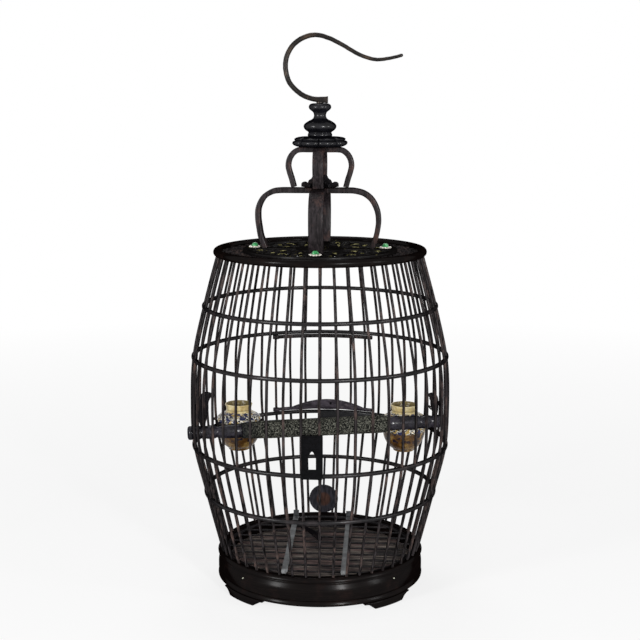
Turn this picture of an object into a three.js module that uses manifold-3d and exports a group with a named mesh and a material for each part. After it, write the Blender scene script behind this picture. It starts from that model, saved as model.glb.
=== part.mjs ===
// A round songbird cage of dark lacquered bamboo and hardwood: barrel-shaped wall of bent bars,
// four hoops, footed base ring, fretwork top with a two-tier crown, turned finial and swivel hook,
// a grit-coated perch, two glazed cups and a hinged door at the back.
// Millimetres, +Z up. z = 0 is the underside of the feet and the front faces -Y.
// An azimuth is counted in degrees from the front, positive toward the right (+X).

import * as THREE from "three";
import { mergeGeometries, mergeVertices } from "three/addons/utils/BufferGeometryUtils.js";
import Module from "manifold-3d";

const wasm = await Module();
wasm.setup();

// Wall of bars
const BAR_COUNT = 48;
const BAR_D = 3.5;
const BAR_SIDES = 4;
const BAR_SOCKET = 6;
const BAR_IN_RIM = 4;
const STRIP_END = 0.1;
const LINTEL_H = 2;
const BAR_FIT = 0.35;
const BAR_FOOT_R = 127;
const BAR_FOOT_LEAN = 0.25;
const FRONT_AZIMUTH = 0;
const DOOR_AZIMUTH = 180;
const SIDE_AZIMUTHS = { right: 90, left: 270 };
const FRONT_SET_HALF = 30;
const GAP = 0.3;

// Base: feet, ring, tray board and floor grille
const FOOT_H = 9.4;
const FOOT_W = 45;
const FOOT_FLARE = 12;
const FOOT_EDGE = 2.2;
const FOOT_AZIMUTHS = [45, 135, 225, 315];
const BASE_H = 36.3;
const BASE_R = 132.3;
const BASE_INNER_R = 113;
const BASE_BEAD = 5;
const BAND_STEP = 0.6;
const BASE_CHAMFER = 2.5;
const TRAY_SEAT_DEPTH = 18.3;
const TRAY_SEAT_R = 117.5;
const TRAY_T = 2.7;
const GRILLE_SEAT_DEPTH = 6.3;
const GRILLE_SEAT_R = 122.4;
const FLOOR_T = 4.2;
const FLOOR_RING_W = 5.4;
const ROD_D = 3;
const ROD_PITCH = 21.7;
const STRAP_W = 7.5;
const STRAP_T = 1.5;
const STRAP_TAB_H = 9;
const STRAP_X = 36.5;
const STRAP_LENGTH = 224;
const STRAP_TURN = 1.1;
const STRAP_SHIFT = 2.1;
const CATCH_W = 7;
const CATCH_T = 2;
const CATCH_REACH = 52;
const CATCH_PIN_R = 2;
const CATCH_X = -27;
const CATCH_Y = 61;

// Hoops, heights above the top of the base ring and radii of their middle lines
const HOOP_W = 6;
const HOOP_H = 4.8;
const HOOP_1 = { rise: 75.4, radius: 146.2 };
const SILL_HOOP = { rise: 136.8, radius: 160.7 };
const BELLY = { rise: 193.7, radius: 163 };
const HEAD_HOOP = { rise: 250.6, radius: 160 };
const HOOP_4 = { rise: 314.7, radius: 145.9 };
const RIM = { rise: 382.7, radius: 129 };
const RIM_D = 9.6;
const WALL_TOP_R = 127.3;

// Top: grille of spokes, fretwork panel and four studs
const SPOKE_W = 2.6;
const SPOKE_T = 3;
const PANEL_R = 97;
const PANEL_T = 3.4;
const PANEL_RISE = 3.7;
const PANEL_LEDGE = 8;
const STUD_CIRCLE_R = 82;
const STUD_D = 16;
const STUD_T = 2.3;
const JADE_D = 8.5;
const JADE_H = 3.6;

// Crown, finial and hook
const LOWER_TIER_H = 75.8;
const LOWER_ARM_W = 18.2;
const LOWER_ARM_T = 7.2;
const LOWER_ARM_REACH = [74.9, 73.2, 74.9, 77.4];
const UPPER_TIER_H = 50;
const UPPER_ARM_W = 13.2;
const UPPER_ARM_T = 6.5;
const UPPER_ARM_R = 39.7;
const HUB_R = 24;
const HUB_H = 15;
const HUB_PIN_R = 9.2;
const COLLAR_R = 35.2;
const COLLAR_H = 12.2;
const COLLAR_LOBES = 8;
const FINIAL_R = 20.6;
const FINIAL_H = 40.4;
const HOOK_D = 6.3;
const HOOK_TIP_D = 4;
const HOOK_H = 86;
const HOOK_PIN_D = 5.6;
const HOOK_PIN_DEPTH = 14;
const HOOK_BLOCK = { left: -14, right: 10, width: 9, height: 9 };

// Perch and its brackets
const PERCH_ABOVE_SILL = 18.6;
const PERCH_AZIMUTH = 105;
const PERCH_END_R = 8.2;
const PERCH_WAIST = 0.9;
const PERCH_KNOB_R = 8.8;
const PERCH_LENGTH = 340;
const GRIT_D = 23;
const GRIT_END_D = 19;
const GRIT_TAPER = 38;
const GRIT_LEFT = 101;
const GRIT_RIGHT = 88;
const GRIT_CORE_R = 7.4;
const BRACKET_H = { left: 44, right: 30 };
const BRACKET_T = 5;

// Cups and the rings that hold them
const CUP_AZIMUTHS = { left: -118, right: 122.8 };
const CUP_ARM_AZIMUTHS = { left: -120, right: 127.5 };
const CUP_H = 62.5;
const CUP_MOUTH_D = 36;
const CUP_BELLY_D = 58.5;
const CUP_FOOT_D = 29;
const CUP_WALL = 2.4;
const CUP_RING_W = 2.2;
const CUP_RING_H = 4.4;
const CUP_RING_ABOVE_SILL = 8.6;
const CUP_SEAT_SHARE = 0.63;
const CUP_ARM_W = 7;
const CUP_HEAD_W = 25;
const CUP_HEAD_T = 2.2;

// Door, sill block, plaque and back disc
const DOOR_HALF = 22.5;
const DOOR_POST = 26.25;
const DOOR_RAIL_T = 4.6;
const DOOR_RAIL_CENTRE_H = 14.3;
const DOOR_RAIL_END_H = 4.5;
const DOOR_TOP_RAIL_H = 5;
const DOOR_CLEAR = 0.7;
const HINGE_BORE_R = 3;
const HINGE_WALL = 1.5;
const DOOR_PULL_R = 3.4;
const SILL_BLOCK = { left: 155.5, right: 184.6, width: 6.2, height: 11 };
const FITTINGS_PROUD = 4;
const FITTINGS_COVER = 3.3;
const PLAQUE_SEAT = 1.5;
const PLAQUE_W = 25;
const PLAQUE_SHIFT = 2.2;
const PLAQUE_H = 53;
const WINDOW_W = 9;
const WINDOW_H = 22.4;
const WINDOW_RISE = 11.6;
const WINDOW_SPRING = 0.62;
const DISC_D = 40;
const DISC_RISE = 3.2;
const DISC_SHIFT = 3.4;
const DISC_T = 4.8;
const DISC_STEM_D = 3;

// Heights that follow from the sizes above
const RING_TOP = FOOT_H + BASE_H;
const TRAY_SEAT_Z = RING_TOP - TRAY_SEAT_DEPTH;
const GRILLE_SEAT_Z = RING_TOP - GRILLE_SEAT_DEPTH;
const FLOOR_Z = GRILLE_SEAT_Z + GAP;
const FLOOR_TOP = FLOOR_Z + FLOOR_T;
const SILL_Z = RING_TOP + SILL_HOOP.rise;
const HEAD_Z = RING_TOP + HEAD_HOOP.rise;
const RIM_Z = RING_TOP + RIM.rise;
const PANEL_TOP = RIM_Z + PANEL_RISE;
const CROWN_FOOT = PANEL_TOP + GAP;
const LOWER_TIER_TOP = CROWN_FOOT + LOWER_TIER_H;
const UPPER_TIER_FOOT = LOWER_TIER_TOP + GAP;
const UPPER_TIER_TOP = UPPER_TIER_FOOT + UPPER_TIER_H - GAP;
const COLLAR_Z = UPPER_TIER_TOP + GAP;
const FINIAL_Z = COLLAR_Z + COLLAR_H + GAP;
const FINIAL_TOP = FINIAL_Z + FINIAL_H;
const PERCH_Z = SILL_Z + PERCH_ABOVE_SILL;
const HOOP_FACE_R = SILL_HOOP.radius + HOOP_W / 2;
const FITTINGS_R = Math.max(HOOP_FACE_R + FITTINGS_COVER, BELLY.radius + FITTINGS_PROUD);
const HALF_STEP = 180 / BAR_COUNT;
const FACET = 1 / Math.cos(Math.PI / BAR_COUNT);

// Colours
const LACQUER = { color: 0x1c1412, roughness: 0.42, metalness: 0 };
const DARK_WOOD = { color: 0x241713, roughness: 0.5, metalness: 0 };
const BLACK_GLOSS = { color: 0x0d0c0c, roughness: 0.2, metalness: 0 };
const BRONZE = { color: 0x33281f, roughness: 0.45, metalness: 0.8 };
const GREY_METAL = { color: 0x77746e, roughness: 0.5, metalness: 0.6 };
const GRIT = { color: 0x3c3e38, roughness: 0.95, metalness: 0 };
const GLAZE = { color: 0xb09a5c, roughness: 0.2, metalness: 0 };
const SHELL_WHITE = { color: 0xe6e0d4, roughness: 0.35, metalness: 0 };
const JADE = { color: 0x2f8f5c, roughness: 0.2, metalness: 0 };
const BOARD = { color: 0x5c4d3c, roughness: 0.8, metalness: 0 };

const cage = new THREE.Group();

// General helpers

const radians = (degrees) => degrees * Math.PI / 180;

function add(name, geometry, finish) {
  const mesh = new THREE.Mesh(geometry, new THREE.MeshStandardMaterial(finish));
  mesh.name = name;
  cage.add(mesh);
  return mesh;
}

// A piece is drawn with +X pointing outward from the cage's axis, then turned to its azimuth.
function turned(geometry, azimuth) {
  return geometry.clone().rotateZ(radians(azimuth - 90));
}

function solid(geometry) {
  const bare = geometry.clone();
  bare.deleteAttribute("normal");
  bare.deleteAttribute("uv");
  const merged = mergeVertices(bare, 1e-4);
  const source = merged.index.array;
  const faces = [];
  for (let i = 0; i < source.length; i += 3) {
    const [a, b, c] = [source[i], source[i + 1], source[i + 2]];
    if (a !== b && b !== c && c !== a) {
      faces.push(a, b, c);
    }
  }
  const mesh = new wasm.Mesh({
    numProp: 3,
    vertProperties: new Float32Array(merged.attributes.position.array),
    triVerts: new Uint32Array(faces),
  });
  return new wasm.Manifold(mesh);
}

function surface(body) {
  const mesh = body.getMesh();
  const geometry = new THREE.BufferGeometry();
  geometry.setAttribute("position", new THREE.BufferAttribute(new Float32Array(mesh.vertProperties), 3));
  geometry.setIndex(new THREE.BufferAttribute(new Uint32Array(mesh.triVerts), 1));
  return geometry;
}

function join(geometries) {
  return surface(geometries.map(solid).reduce((whole, piece) => whole.add(piece)));
}

function cut(geometry, cutters) {
  return surface(cutters.map(solid).reduce((whole, cutter) => whole.subtract(cutter), solid(geometry)));
}

// Cutters that don't meet, as one geometry.
function together(geometries) {
  const plain = geometries.map((geometry) => {
    const bare = geometry.index ? geometry.toNonIndexed() : geometry.clone();
    bare.deleteAttribute("normal");
    bare.deleteAttribute("uv");
    return bare;
  });
  return mergeGeometries(plain);
}

// A solid of revolution about Z from [radius, height] points, outer side going up.
function turning(points, segments) {
  const profile = points.map(([radius, height]) => new THREE.Vector2(radius, height));
  return new THREE.LatheGeometry(profile, segments).rotateX(Math.PI / 2);
}

// A ring about Z with a flat facet centred on every bar, from a closed profile.
function barRing(points) {
  const profile = [...points, points[0]].map(([radius, height]) => [radius * FACET, height]);
  return turning(profile, BAR_COUNT);
}

// A drawn outline in the radial and vertical directions, with a width across them.
function radialPlate(shape, width) {
  const plate = new THREE.ExtrudeGeometry(shape, { depth: width, bevelEnabled: false });
  return plate.rotateX(Math.PI / 2).translate(0, width / 2, 0);
}

function polygon(points) {
  return new THREE.Shape(points.map(([x, y]) => new THREE.Vector2(x, y)));
}

// A regular polygon with the area of the circle that it stands for.
function roundSection(radius, sides) {
  const turn = 2 * Math.PI / sides;
  const corner = radius * Math.sqrt(turn / Math.sin(turn));
  const points = [];
  for (let i = 0; i < sides; i++) {
    const angle = (i + 0.5) * turn;
    points.push([corner * Math.cos(angle), corner * Math.sin(angle)]);
  }
  return polygon(points);
}

function box(x0, x1, y0, y1, z0, z1) {
  const block = new THREE.BoxGeometry(x1 - x0, y1 - y0, z1 - z0);
  return block.translate((x0 + x1) / 2, (y0 + y1) / 2, (z0 + z1) / 2);
}

function drum(radius, z0, z1, segments) {
  return turning([[0, z0], [radius, z0], [radius, z1], [0, z1]], segments);
}

// A path of straight stretches whose stations are exactly the given points.
class StationPath extends THREE.Curve {
  constructor(points) {
    super();
    this.points = points;
  }

  getPoint(t) {
    const place = t * (this.points.length - 1);
    const index = Math.min(Math.floor(place), this.points.length - 2);
    return this.points[index].clone().lerp(this.points[index + 1], place - index);
  }

  getPointAt(u) {
    return this.getPoint(u);
  }

  getTangentAt(u) {
    return this.getTangent(u);
  }
}

function rodAlong(points, section) {
  const options = { steps: points.length - 1, extrudePath: new StationPath(points) };
  return new THREE.ExtrudeGeometry(section, options);
}

// Closed surface through a row of rings that all have the same number of corners.
function loft(rings) {
  const corners = rings[0].length;
  const points = [];
  const faces = [];
  for (const ring of rings) {
    for (const corner of ring) {
      points.push(corner.x, corner.y, corner.z);
    }
  }
  for (let i = 0; i + 1 < rings.length; i++) {
    for (let j = 0; j < corners; j++) {
      const next = (j + 1) % corners;
      const [a, b] = [i * corners + j, i * corners + next];
      faces.push(a, b, b + corners, a, b + corners, a + corners);
    }
  }
  const last = (rings.length - 1) * corners;
  for (let j = 1; j + 1 < corners; j++) {
    faces.push(0, j + 1, j, last, last + j, last + j + 1);
  }
  const geometry = new THREE.BufferGeometry();
  geometry.setAttribute("position", new THREE.Float32BufferAttribute(points, 3));
  geometry.setIndex(faces);
  return geometry;
}

function polar(azimuth, radius, z) {
  return new THREE.Vector3(radius * Math.sin(radians(azimuth)), -radius * Math.cos(radians(azimuth)), z);
}

// A curved rail that follows the wall; its lower and upper edges are functions of the azimuth.
function arcRail(inner, outer, azimuths, low, high) {
  return loft(azimuths.map((azimuth) => [
    polar(azimuth, inner, low(azimuth)),
    polar(azimuth, inner, high(azimuth)),
    polar(azimuth, outer, high(azimuth)),
    polar(azimuth, outer, low(azimuth)),
  ]));
}

function steps(from, to, count) {
  return Array.from({ length: count + 1 }, (_, i) => from + (to - from) * i / count);
}

// A band of even thickness along a smooth centre line, held between two flat ends.
function ribbon(points, thickness, samples, floor, ceiling) {
  const line = new THREE.SplineCurve(points.map(([x, y]) => new THREE.Vector2(x, y)));
  const left = [];
  const right = [];
  for (let i = 0; i <= samples; i++) {
    const centre = line.getPoint(i / samples);
    const along = line.getTangent(i / samples);
    const across = new THREE.Vector2(-along.y, along.x).multiplyScalar(thickness / 2);
    for (const [side, sign] of [[left, 1], [right, -1]]) {
      const point = centre.clone().addScaledVector(across, sign);
      point.y = Math.min(Math.max(point.y, floor), ceiling);
      side.push(point);
    }
  }
  return new THREE.Shape([...left, ...right.reverse()]);
}

// The wall line, from the sockets in the base ring up to the rim

const SOCKET_FLOOR = RING_TOP - BAR_SOCKET;
const STRIP_INNER = BAR_FOOT_R - BAR_FOOT_LEAN * BAR_SOCKET - BAR_D / 2 - 0.1;
const STRIP_OUTER = BAR_FOOT_R + BAR_D / 2 + 0.1;
const BAR_HEAD_Z = RIM_Z - RIM_D / 2 + BAR_IN_RIM;
const WALL_STATIONS = [
  [SOCKET_FLOOR, BAR_FOOT_R - BAR_FOOT_LEAN * BAR_SOCKET],
  ...[HOOP_1, SILL_HOOP, BELLY, HEAD_HOOP, HOOP_4].map((hoop) => [RING_TOP + hoop.rise, hoop.radius]),
  [RIM_Z, WALL_TOP_R],
];

function wallRadius(z) {
  const next = Math.max(1, WALL_STATIONS.findIndex(([height]) => height >= z));
  const [[z0, r0], [z1, r1]] = [WALL_STATIONS[next - 1], WALL_STATIONS[next]];
  return r0 + (r1 - r0) * (z - z0) / (z1 - z0);
}

function wallPath(from, to) {
  const between = WALL_STATIONS.map(([height]) => height).filter((z) => z > from + 1 && z < to - 1);
  return [from, ...between, to].map((z) => new THREE.Vector3(wallRadius(z), 0, z));
}

const barBetween = (from, to) => rodAlong(wallPath(from, to), roundSection(BAR_D / 2, BAR_SIDES));
const barSpace = (from, to) => rodAlong(wallPath(from, to), roundSection(BAR_D / 2 + BAR_FIT, BAR_SIDES));

// A straight drilled hole, set midway through the slight bend that the bar has inside it.
function barHole(from, to) {
  const bend = wallRadius((from + to) / 2) - (wallRadius(from) + wallRadius(to)) / 2;
  const ends = [from, to].map((z) => new THREE.Vector3(wallRadius(z) + bend / 2, 0, z));
  return rodAlong(ends, roundSection(BAR_D / 2 + BAR_FIT, BAR_SIDES));
}

const barAzimuth = (index) => (index + 0.5) * 2 * HALF_STEP;
const allBars = Array.from({ length: BAR_COUNT * 1.25 }, (_, i) => barAzimuth(i));
const oneRound = allBars.slice(0, BAR_COUNT);
const FACET_AZIMUTHS = allBars.map((azimuth) => azimuth - HALF_STEP);
const atEveryBar = (geometry) => together(oneRound.map((azimuth) => turned(geometry, azimuth)));

// Bars: five sets of full bars, the two door posts, and short bars below and above the doorway.
// Each set is glued into an arc of sill strip that lies in the groove of the base ring.

const BAR_START = SOCKET_FLOOR + BAR_SOCKET / 3;
const fullBar = barBetween(BAR_START, BAR_HEAD_Z);
const insideDoor = (azimuth) => Math.abs(azimuth - DOOR_AZIMUTH) < DOOR_POST - 1;
const setBars = (geometry, azimuths) => azimuths.map((azimuth) => turned(geometry, azimuth));

function stripBetween(from, to, inner, outer, low, high) {
  const between = FACET_AZIMUTHS.filter((at) => at > from + 1 && at < to - 1);
  const azimuths = [from + STRIP_END, ...between, to - STRIP_END];
  return arcRail(inner * FACET, outer * FACET, azimuths, () => low, () => high);
}

function barSet(name, from, to, geometry) {
  const bars = setBars(geometry, allBars.filter((azimuth) => azimuth > from && azimuth < to));
  const strip = stripBetween(from, to, STRIP_INNER, STRIP_OUTER, SOCKET_FLOOR + GAP, RING_TOP - GAP);
  add(name, join([strip, ...bars]), LACQUER);
}

function barSets() {
  const [right, left] = [DOOR_AZIMUTH - DOOR_POST, DOOR_AZIMUTH + DOOR_POST];
  const [frontRight, frontLeft] = [FRONT_AZIMUTH + FRONT_SET_HALF, FRONT_AZIMUTH + 360 - FRONT_SET_HALF];
  const shortBar = barBetween(BAR_START, SILL_Z + HOOP_H / 2 - GAP);
  barSet("bars_right_front", frontRight, SIDE_AZIMUTHS.right, fullBar);
  barSet("bars_right_back", SIDE_AZIMUTHS.right, right - HALF_STEP, fullBar);
  barSet("door_post_right", right - HALF_STEP, right + HALF_STEP, fullBar);
  barSet("bars_back_lower", right + HALF_STEP, left - HALF_STEP, shortBar);
  barSet("door_post_left", left - HALF_STEP, left + HALF_STEP, fullBar);
  barSet("bars_left_back", left + HALF_STEP, SIDE_AZIMUTHS.left, fullBar);
  barSet("bars_left_front", SIDE_AZIMUTHS.left, frontLeft, fullBar);
  barSet("bars_front", frontLeft, frontRight + 360, fullBar);
  const seat = HEAD_Z + HOOP_H / 2 + GAP;
  const headBar = barBetween(HEAD_Z - HOOP_H / 2 + GAP, BAR_HEAD_Z);
  const lintelR = wallRadius(seat + LINTEL_H / 2);
  const lintelHalf = BAR_D / 2 + GAP;
  const lintel = stripBetween(right + HALF_STEP, left - HALF_STEP, lintelR - lintelHalf, lintelR + lintelHalf,
    seat, seat + LINTEL_H);
  const upper = join([lintel, ...setBars(headBar, allBars.filter(insideDoor))]);
  add("bars_back_upper", upper, LACQUER);
}

// Hoops and rim

function hoop(name, size) {
  const z = RING_TOP + size.rise;
  const [inner, outer] = [size.radius - HOOP_W / 2, size.radius + HOOP_W / 2];
  const [low, high] = [z - HOOP_H / 2, z + HOOP_H / 2];
  const ring = barRing([[inner, low], [outer, low], [outer, high], [inner, high]]);
  add(name, cut(ring, [atEveryBar(barHole(low - 1, high + 1))]), LACQUER);
}

// The rim is eight-sided in section; the head of every bar sits in a blind hole in its underside.
function rim() {
  const half = RIM_D / 2;
  const flat = half * Math.tan(Math.PI / 8);
  const corners = [[-flat, -half], [flat, -half], [half, -flat], [half, flat],
    [flat, half], [-flat, half], [-half, flat], [-half, -flat]];
  const ring = barRing(corners.map(([out, up]) => [RIM.radius + out, RIM_Z + up]));
  const sockets = atEveryBar(barHole(RIM_Z - half - 1, BAR_HEAD_Z + 2 * GAP));
  add("top_rim", cut(ring, [sockets]), LACQUER);
}

// Base

function baseRing() {
  const bottom = FOOT_H;
  const band = BASE_R - BAND_STEP;
  const profile = [
    [BASE_INNER_R, bottom],
    [BASE_R - BASE_CHAMFER, bottom],
    [BASE_R, bottom + BASE_BEAD],
    [band, bottom + 1.8 * BASE_BEAD],
    [band, RING_TOP - BASE_BEAD],
    [BASE_R, RING_TOP - BASE_BEAD / 2],
    [band, RING_TOP],
    [STRIP_OUTER + GAP, RING_TOP],
    [STRIP_OUTER + GAP, SOCKET_FLOOR],
    [STRIP_INNER - GAP, SOCKET_FLOOR],
    [STRIP_INNER - GAP, RING_TOP],
    [GRILLE_SEAT_R, RING_TOP],
    [GRILLE_SEAT_R, GRILLE_SEAT_Z],
    [TRAY_SEAT_R, GRILLE_SEAT_Z],
    [TRAY_SEAT_R, TRAY_SEAT_Z],
    [BASE_INNER_R, TRAY_SEAT_Z],
  ];
  add("base_ring", barRing(profile), LACQUER);
}

function feet() {
  const middle = (BASE_INNER_R + BASE_R) / 2;
  const half = FOOT_W / 2;
  const reach = half + FOOT_FLARE;
  const spots = [-reach, -half - 0.6 * FOOT_FLARE, -half - 0.25 * FOOT_FLARE, -half, 0,
    half, half + 0.25 * FOOT_FLARE, half + 0.6 * FOOT_FLARE, reach];
  const rise = (spot) => {
    const share = THREE.MathUtils.clamp((Math.abs(spot) - half) / FOOT_FLARE, 0, 1);
    return (FOOT_H - FOOT_EDGE) * (1 - (1 - share) ** 2.4);
  };
  FOOT_AZIMUTHS.forEach((azimuth, index) => {
    const toAzimuth = (spot) => azimuth + spot / middle * 180 / Math.PI;
    const foot = arcRail(BASE_INNER_R + 1.5, BASE_R + 0.5, spots.map(toAzimuth),
      (at) => rise(radians(at - azimuth) * middle), () => FOOT_H - GAP);
    add(`foot_${index + 1}`, foot, LACQUER);
  });
}

function floor() {
  const trayZ = TRAY_SEAT_Z + GAP;
  add("tray_board", drum(TRAY_SEAT_R - GAP, trayZ, trayZ + TRAY_T, BAR_COUNT), BOARD);
  const reach = GRILLE_SEAT_R - GAP;
  const inner = reach - FLOOR_RING_W;
  const ring = turning([[inner, FLOOR_Z], [reach, FLOOR_Z], [reach, FLOOR_TOP], [inner, FLOOR_TOP],
    [inner, FLOOR_Z]], BAR_COUNT);
  const rods = [];
  const rodsPerSide = Math.floor((inner - ROD_D) / ROD_PITCH + 0.5);
  for (let i = -rodsPerSide; i < rodsPerSide; i++) {
    const y = (i + 0.5) * ROD_PITCH;
    const half = Math.sqrt(((inner + reach) / 2) ** 2 - y ** 2);
    rods.push(box(-half, half, y - ROD_D / 2, y + ROD_D / 2, FLOOR_TOP - ROD_D, FLOOR_TOP));
  }
  add("floor_grille", join([ring, ...rods]), DARK_WOOD);
  const strapZ = FLOOR_TOP + GAP;
  for (const [name, x] of [["floor_strap_left", -STRAP_X], ["floor_strap_right", STRAP_X]]) {
    const [side, back] = [STRAP_W / 2, STRAP_LENGTH / 2];
    const flat = box(-side, side, -back, back, strapZ, strapZ + STRAP_T);
    const tab = box(-side, side, back - STRAP_T, back, strapZ, strapZ + STRAP_TAB_H);
    const strap = join([flat, tab]).rotateZ(radians(STRAP_TURN)).translate(x - STRAP_SHIFT, 0, 0);
    add(name, strap, GREY_METAL);
  }
  // The catch turns on a pin that stands between two floor rods.
  const line = [[0, 0], [0.13, 0.15], [0.28, 0.38], [0.42, 0.66], [0.5, 0.92]]
    .map(([aside, along]) => [aside * CATCH_REACH, -along * CATCH_REACH]);
  const outline = ribbon(line, CATCH_W, 8, -CATCH_REACH - CATCH_W, CATCH_W);
  const lever = new THREE.ExtrudeGeometry(outline, { depth: CATCH_T, bevelEnabled: false })
    .translate(0, 0, strapZ);
  const pin = drum(CATCH_PIN_R, FLOOR_Z + GAP, strapZ + 1.6 * CATCH_T, 10);
  const eye = drum(0.55 * CATCH_W, strapZ, strapZ + CATCH_T, 12);
  add("floor_catch", join([lever, eye, pin]).translate(CATCH_X, CATCH_Y, 0), DARK_WOOD);
}

// Top

function topGrille() {
  const tip = RIM.radius - RIM_D / 2 - GAP;
  const rimEdge = PANEL_R - 0.5;
  const outline = [];
  for (const azimuth of oneRound) {
    for (const [radius, side] of [[rimEdge, -1], [tip, -1], [tip, 1], [rimEdge, 1]]) {
      const away = azimuth - 90 + side * Math.asin(SPOKE_W / 2 / radius) * 180 / Math.PI;
      outline.push([radius * Math.cos(radians(away)), radius * Math.sin(radians(away))]);
    }
  }
  const star = polygon(outline);
  const hole = [];
  for (let i = 0; i < BAR_COUNT; i++) {
    const angle = i * 2 * Math.PI / BAR_COUNT;
    const radius = PANEL_R - PANEL_LEDGE;
    hole.push(new THREE.Vector2(radius * Math.cos(angle), radius * Math.sin(angle)));
  }
  star.holes.push(new THREE.Path(hole.reverse()));
  const grille = new THREE.ExtrudeGeometry(star, { depth: SPOKE_T, bevelEnabled: false });
  add("top_grille", grille.translate(0, 0, PANEL_TOP - PANEL_T - GAP - SPOKE_T), LACQUER);
}

function sectorHole(inner, outer, from, to) {
  const points = [];
  for (const angle of steps(from, to, 3)) {
    points.push(new THREE.Vector2(outer * Math.cos(radians(angle)), outer * Math.sin(radians(angle))));
  }
  for (const angle of steps(to, from, 2)) {
    points.push(new THREE.Vector2(inner * Math.cos(radians(angle)), inner * Math.sin(radians(angle))));
  }
  return new THREE.Path(points.reverse());
}

function topPanel() {
  const panel = roundSection(PANEL_R, BAR_COUNT);
  for (let quarter = 0; quarter < 4; quarter++) {
    const start = quarter * 90;
    panel.holes.push(sectorHole(0.32 * PANEL_R, 0.58 * PANEL_R, start + 20, start + 70));
    panel.holes.push(sectorHole(0.64 * PANEL_R, 0.88 * PANEL_R, start + 12, start + 42));
    panel.holes.push(sectorHole(0.64 * PANEL_R, 0.88 * PANEL_R, start + 48, start + 78));
  }
  const plate = new THREE.ExtrudeGeometry(panel, { depth: PANEL_T, bevelEnabled: false });
  add("top_panel", plate.translate(0, 0, PANEL_TOP - PANEL_T), BLACK_GLOSS);
}

const QUARTERS = [0, 90, 180, 270];

function studs() {
  const [low, high] = [CROWN_FOOT, CROWN_FOOT + STUD_T];
  const setting = turning([[0, low], [STUD_D / 2, low], [STUD_D / 2 - 1, high], [0, high]], 16);
  const foot = high + GAP;
  const half = JADE_D / 2;
  const stone = turning([[0, foot], [half, foot], [half * 0.85, foot + JADE_H * 0.55],
    [half * 0.45, foot + JADE_H * 0.92], [0, foot + JADE_H]], 12);
  QUARTERS.forEach((azimuth, index) => {
    const place = (piece) => turned(piece.clone().translate(STUD_CIRCLE_R, 0, 0), azimuth);
    add(`stud_setting_${index + 1}`, place(setting), SHELL_WHITE);
    add(`stud_jade_${index + 1}`, place(stone), JADE);
  });
}

// Crown: four lower arms, hub, four upper arms and collar

function lowerArms() {
  const top = LOWER_TIER_TOP - LOWER_ARM_T / 2;
  const drop = LOWER_TIER_H;
  const line = (reach) => [
    [Math.max(HUB_PIN_R, LOWER_ARM_W / 2) + GAP, top],
    [0.48 * reach, top],
    [0.77 * reach, top - 0.025 * drop],
    [0.905 * reach, top - 0.115 * drop],
    [0.988 * reach, top - 0.28 * drop],
    [reach, top - 0.45 * drop],
    [0.98 * reach, top - 0.62 * drop],
    [0.955 * reach, top - 0.76 * drop],
    [0.885 * reach, CROWN_FOOT],
  ];
  QUARTERS.forEach((azimuth, index) => {
    const side = ribbon(line(LOWER_ARM_REACH[index]), LOWER_ARM_T, 14, CROWN_FOOT, LOWER_TIER_TOP);
    add(`lower_arm_${index + 1}`, turned(radialPlate(side, LOWER_ARM_W), azimuth), DARK_WOOD);
  });
}

function upperArms() {
  const top = UPPER_TIER_TOP - UPPER_ARM_T / 2;
  const [reach, drop] = [UPPER_ARM_R, UPPER_TIER_H];
  const line = [
    [UPPER_ARM_W / 2 + GAP, top],
    [0.5 * reach, top],
    [0.72 * reach, top - 0.01 * drop],
    [0.88 * reach, top - 0.09 * drop],
    [0.975 * reach, top - 0.2 * drop],
    [reach, top - 0.34 * drop],
    [0.966 * reach, top - 0.46 * drop],
    [0.93 * reach, top - 0.57 * drop],
    [0.89 * reach, top - 0.69 * drop],
    [0.82 * reach, UPPER_TIER_FOOT],
  ];
  const arm = radialPlate(ribbon(line, UPPER_ARM_T, 14, UPPER_TIER_FOOT, UPPER_TIER_TOP), UPPER_ARM_W);
  QUARTERS.forEach((azimuth, index) => add(`upper_arm_${index + 1}`, turned(arm, azimuth), DARK_WOOD));
}

function hub() {
  const [seat, top] = [UPPER_TIER_FOOT, UPPER_TIER_FOOT + HUB_H];
  const profile = [[0, LOWER_TIER_TOP - LOWER_ARM_T - 2], [HUB_PIN_R, LOWER_TIER_TOP - LOWER_ARM_T - 2],
    [HUB_PIN_R, seat], [HUB_R, seat], [HUB_R, seat + 0.22 * HUB_H], [0.7 * HUB_R, seat + 0.45 * HUB_H],
    [0.4 * HUB_R, seat + 0.62 * HUB_H], [0.34 * HUB_R, top - 1], [0, top]];
  add("crown_hub", turning(profile, 20), DARK_WOOD);
}

function collar() {
  const chamfer = COLLAR_H / 4;
  const outline = [];
  for (let i = 0; i < BAR_COUNT; i++) {
    const azimuth = i * 360 / BAR_COUNT;
    const lobe = Math.abs(Math.sin(radians(azimuth * COLLAR_LOBES / 2))) ** 0.6;
    const radius = COLLAR_R * (0.91 + 0.09 * lobe) - chamfer;
    outline.push([radius * Math.cos(radians(azimuth - 90)), radius * Math.sin(radians(azimuth - 90))]);
  }
  const disc = new THREE.ExtrudeGeometry(polygon(outline), {
    depth: COLLAR_H - 2 * chamfer,
    bevelEnabled: true,
    bevelThickness: chamfer,
    bevelSize: chamfer,
    bevelSegments: 1,
  });
  add("collar", disc.translate(0, 0, COLLAR_Z + chamfer), DARK_WOOD);
}

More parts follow.
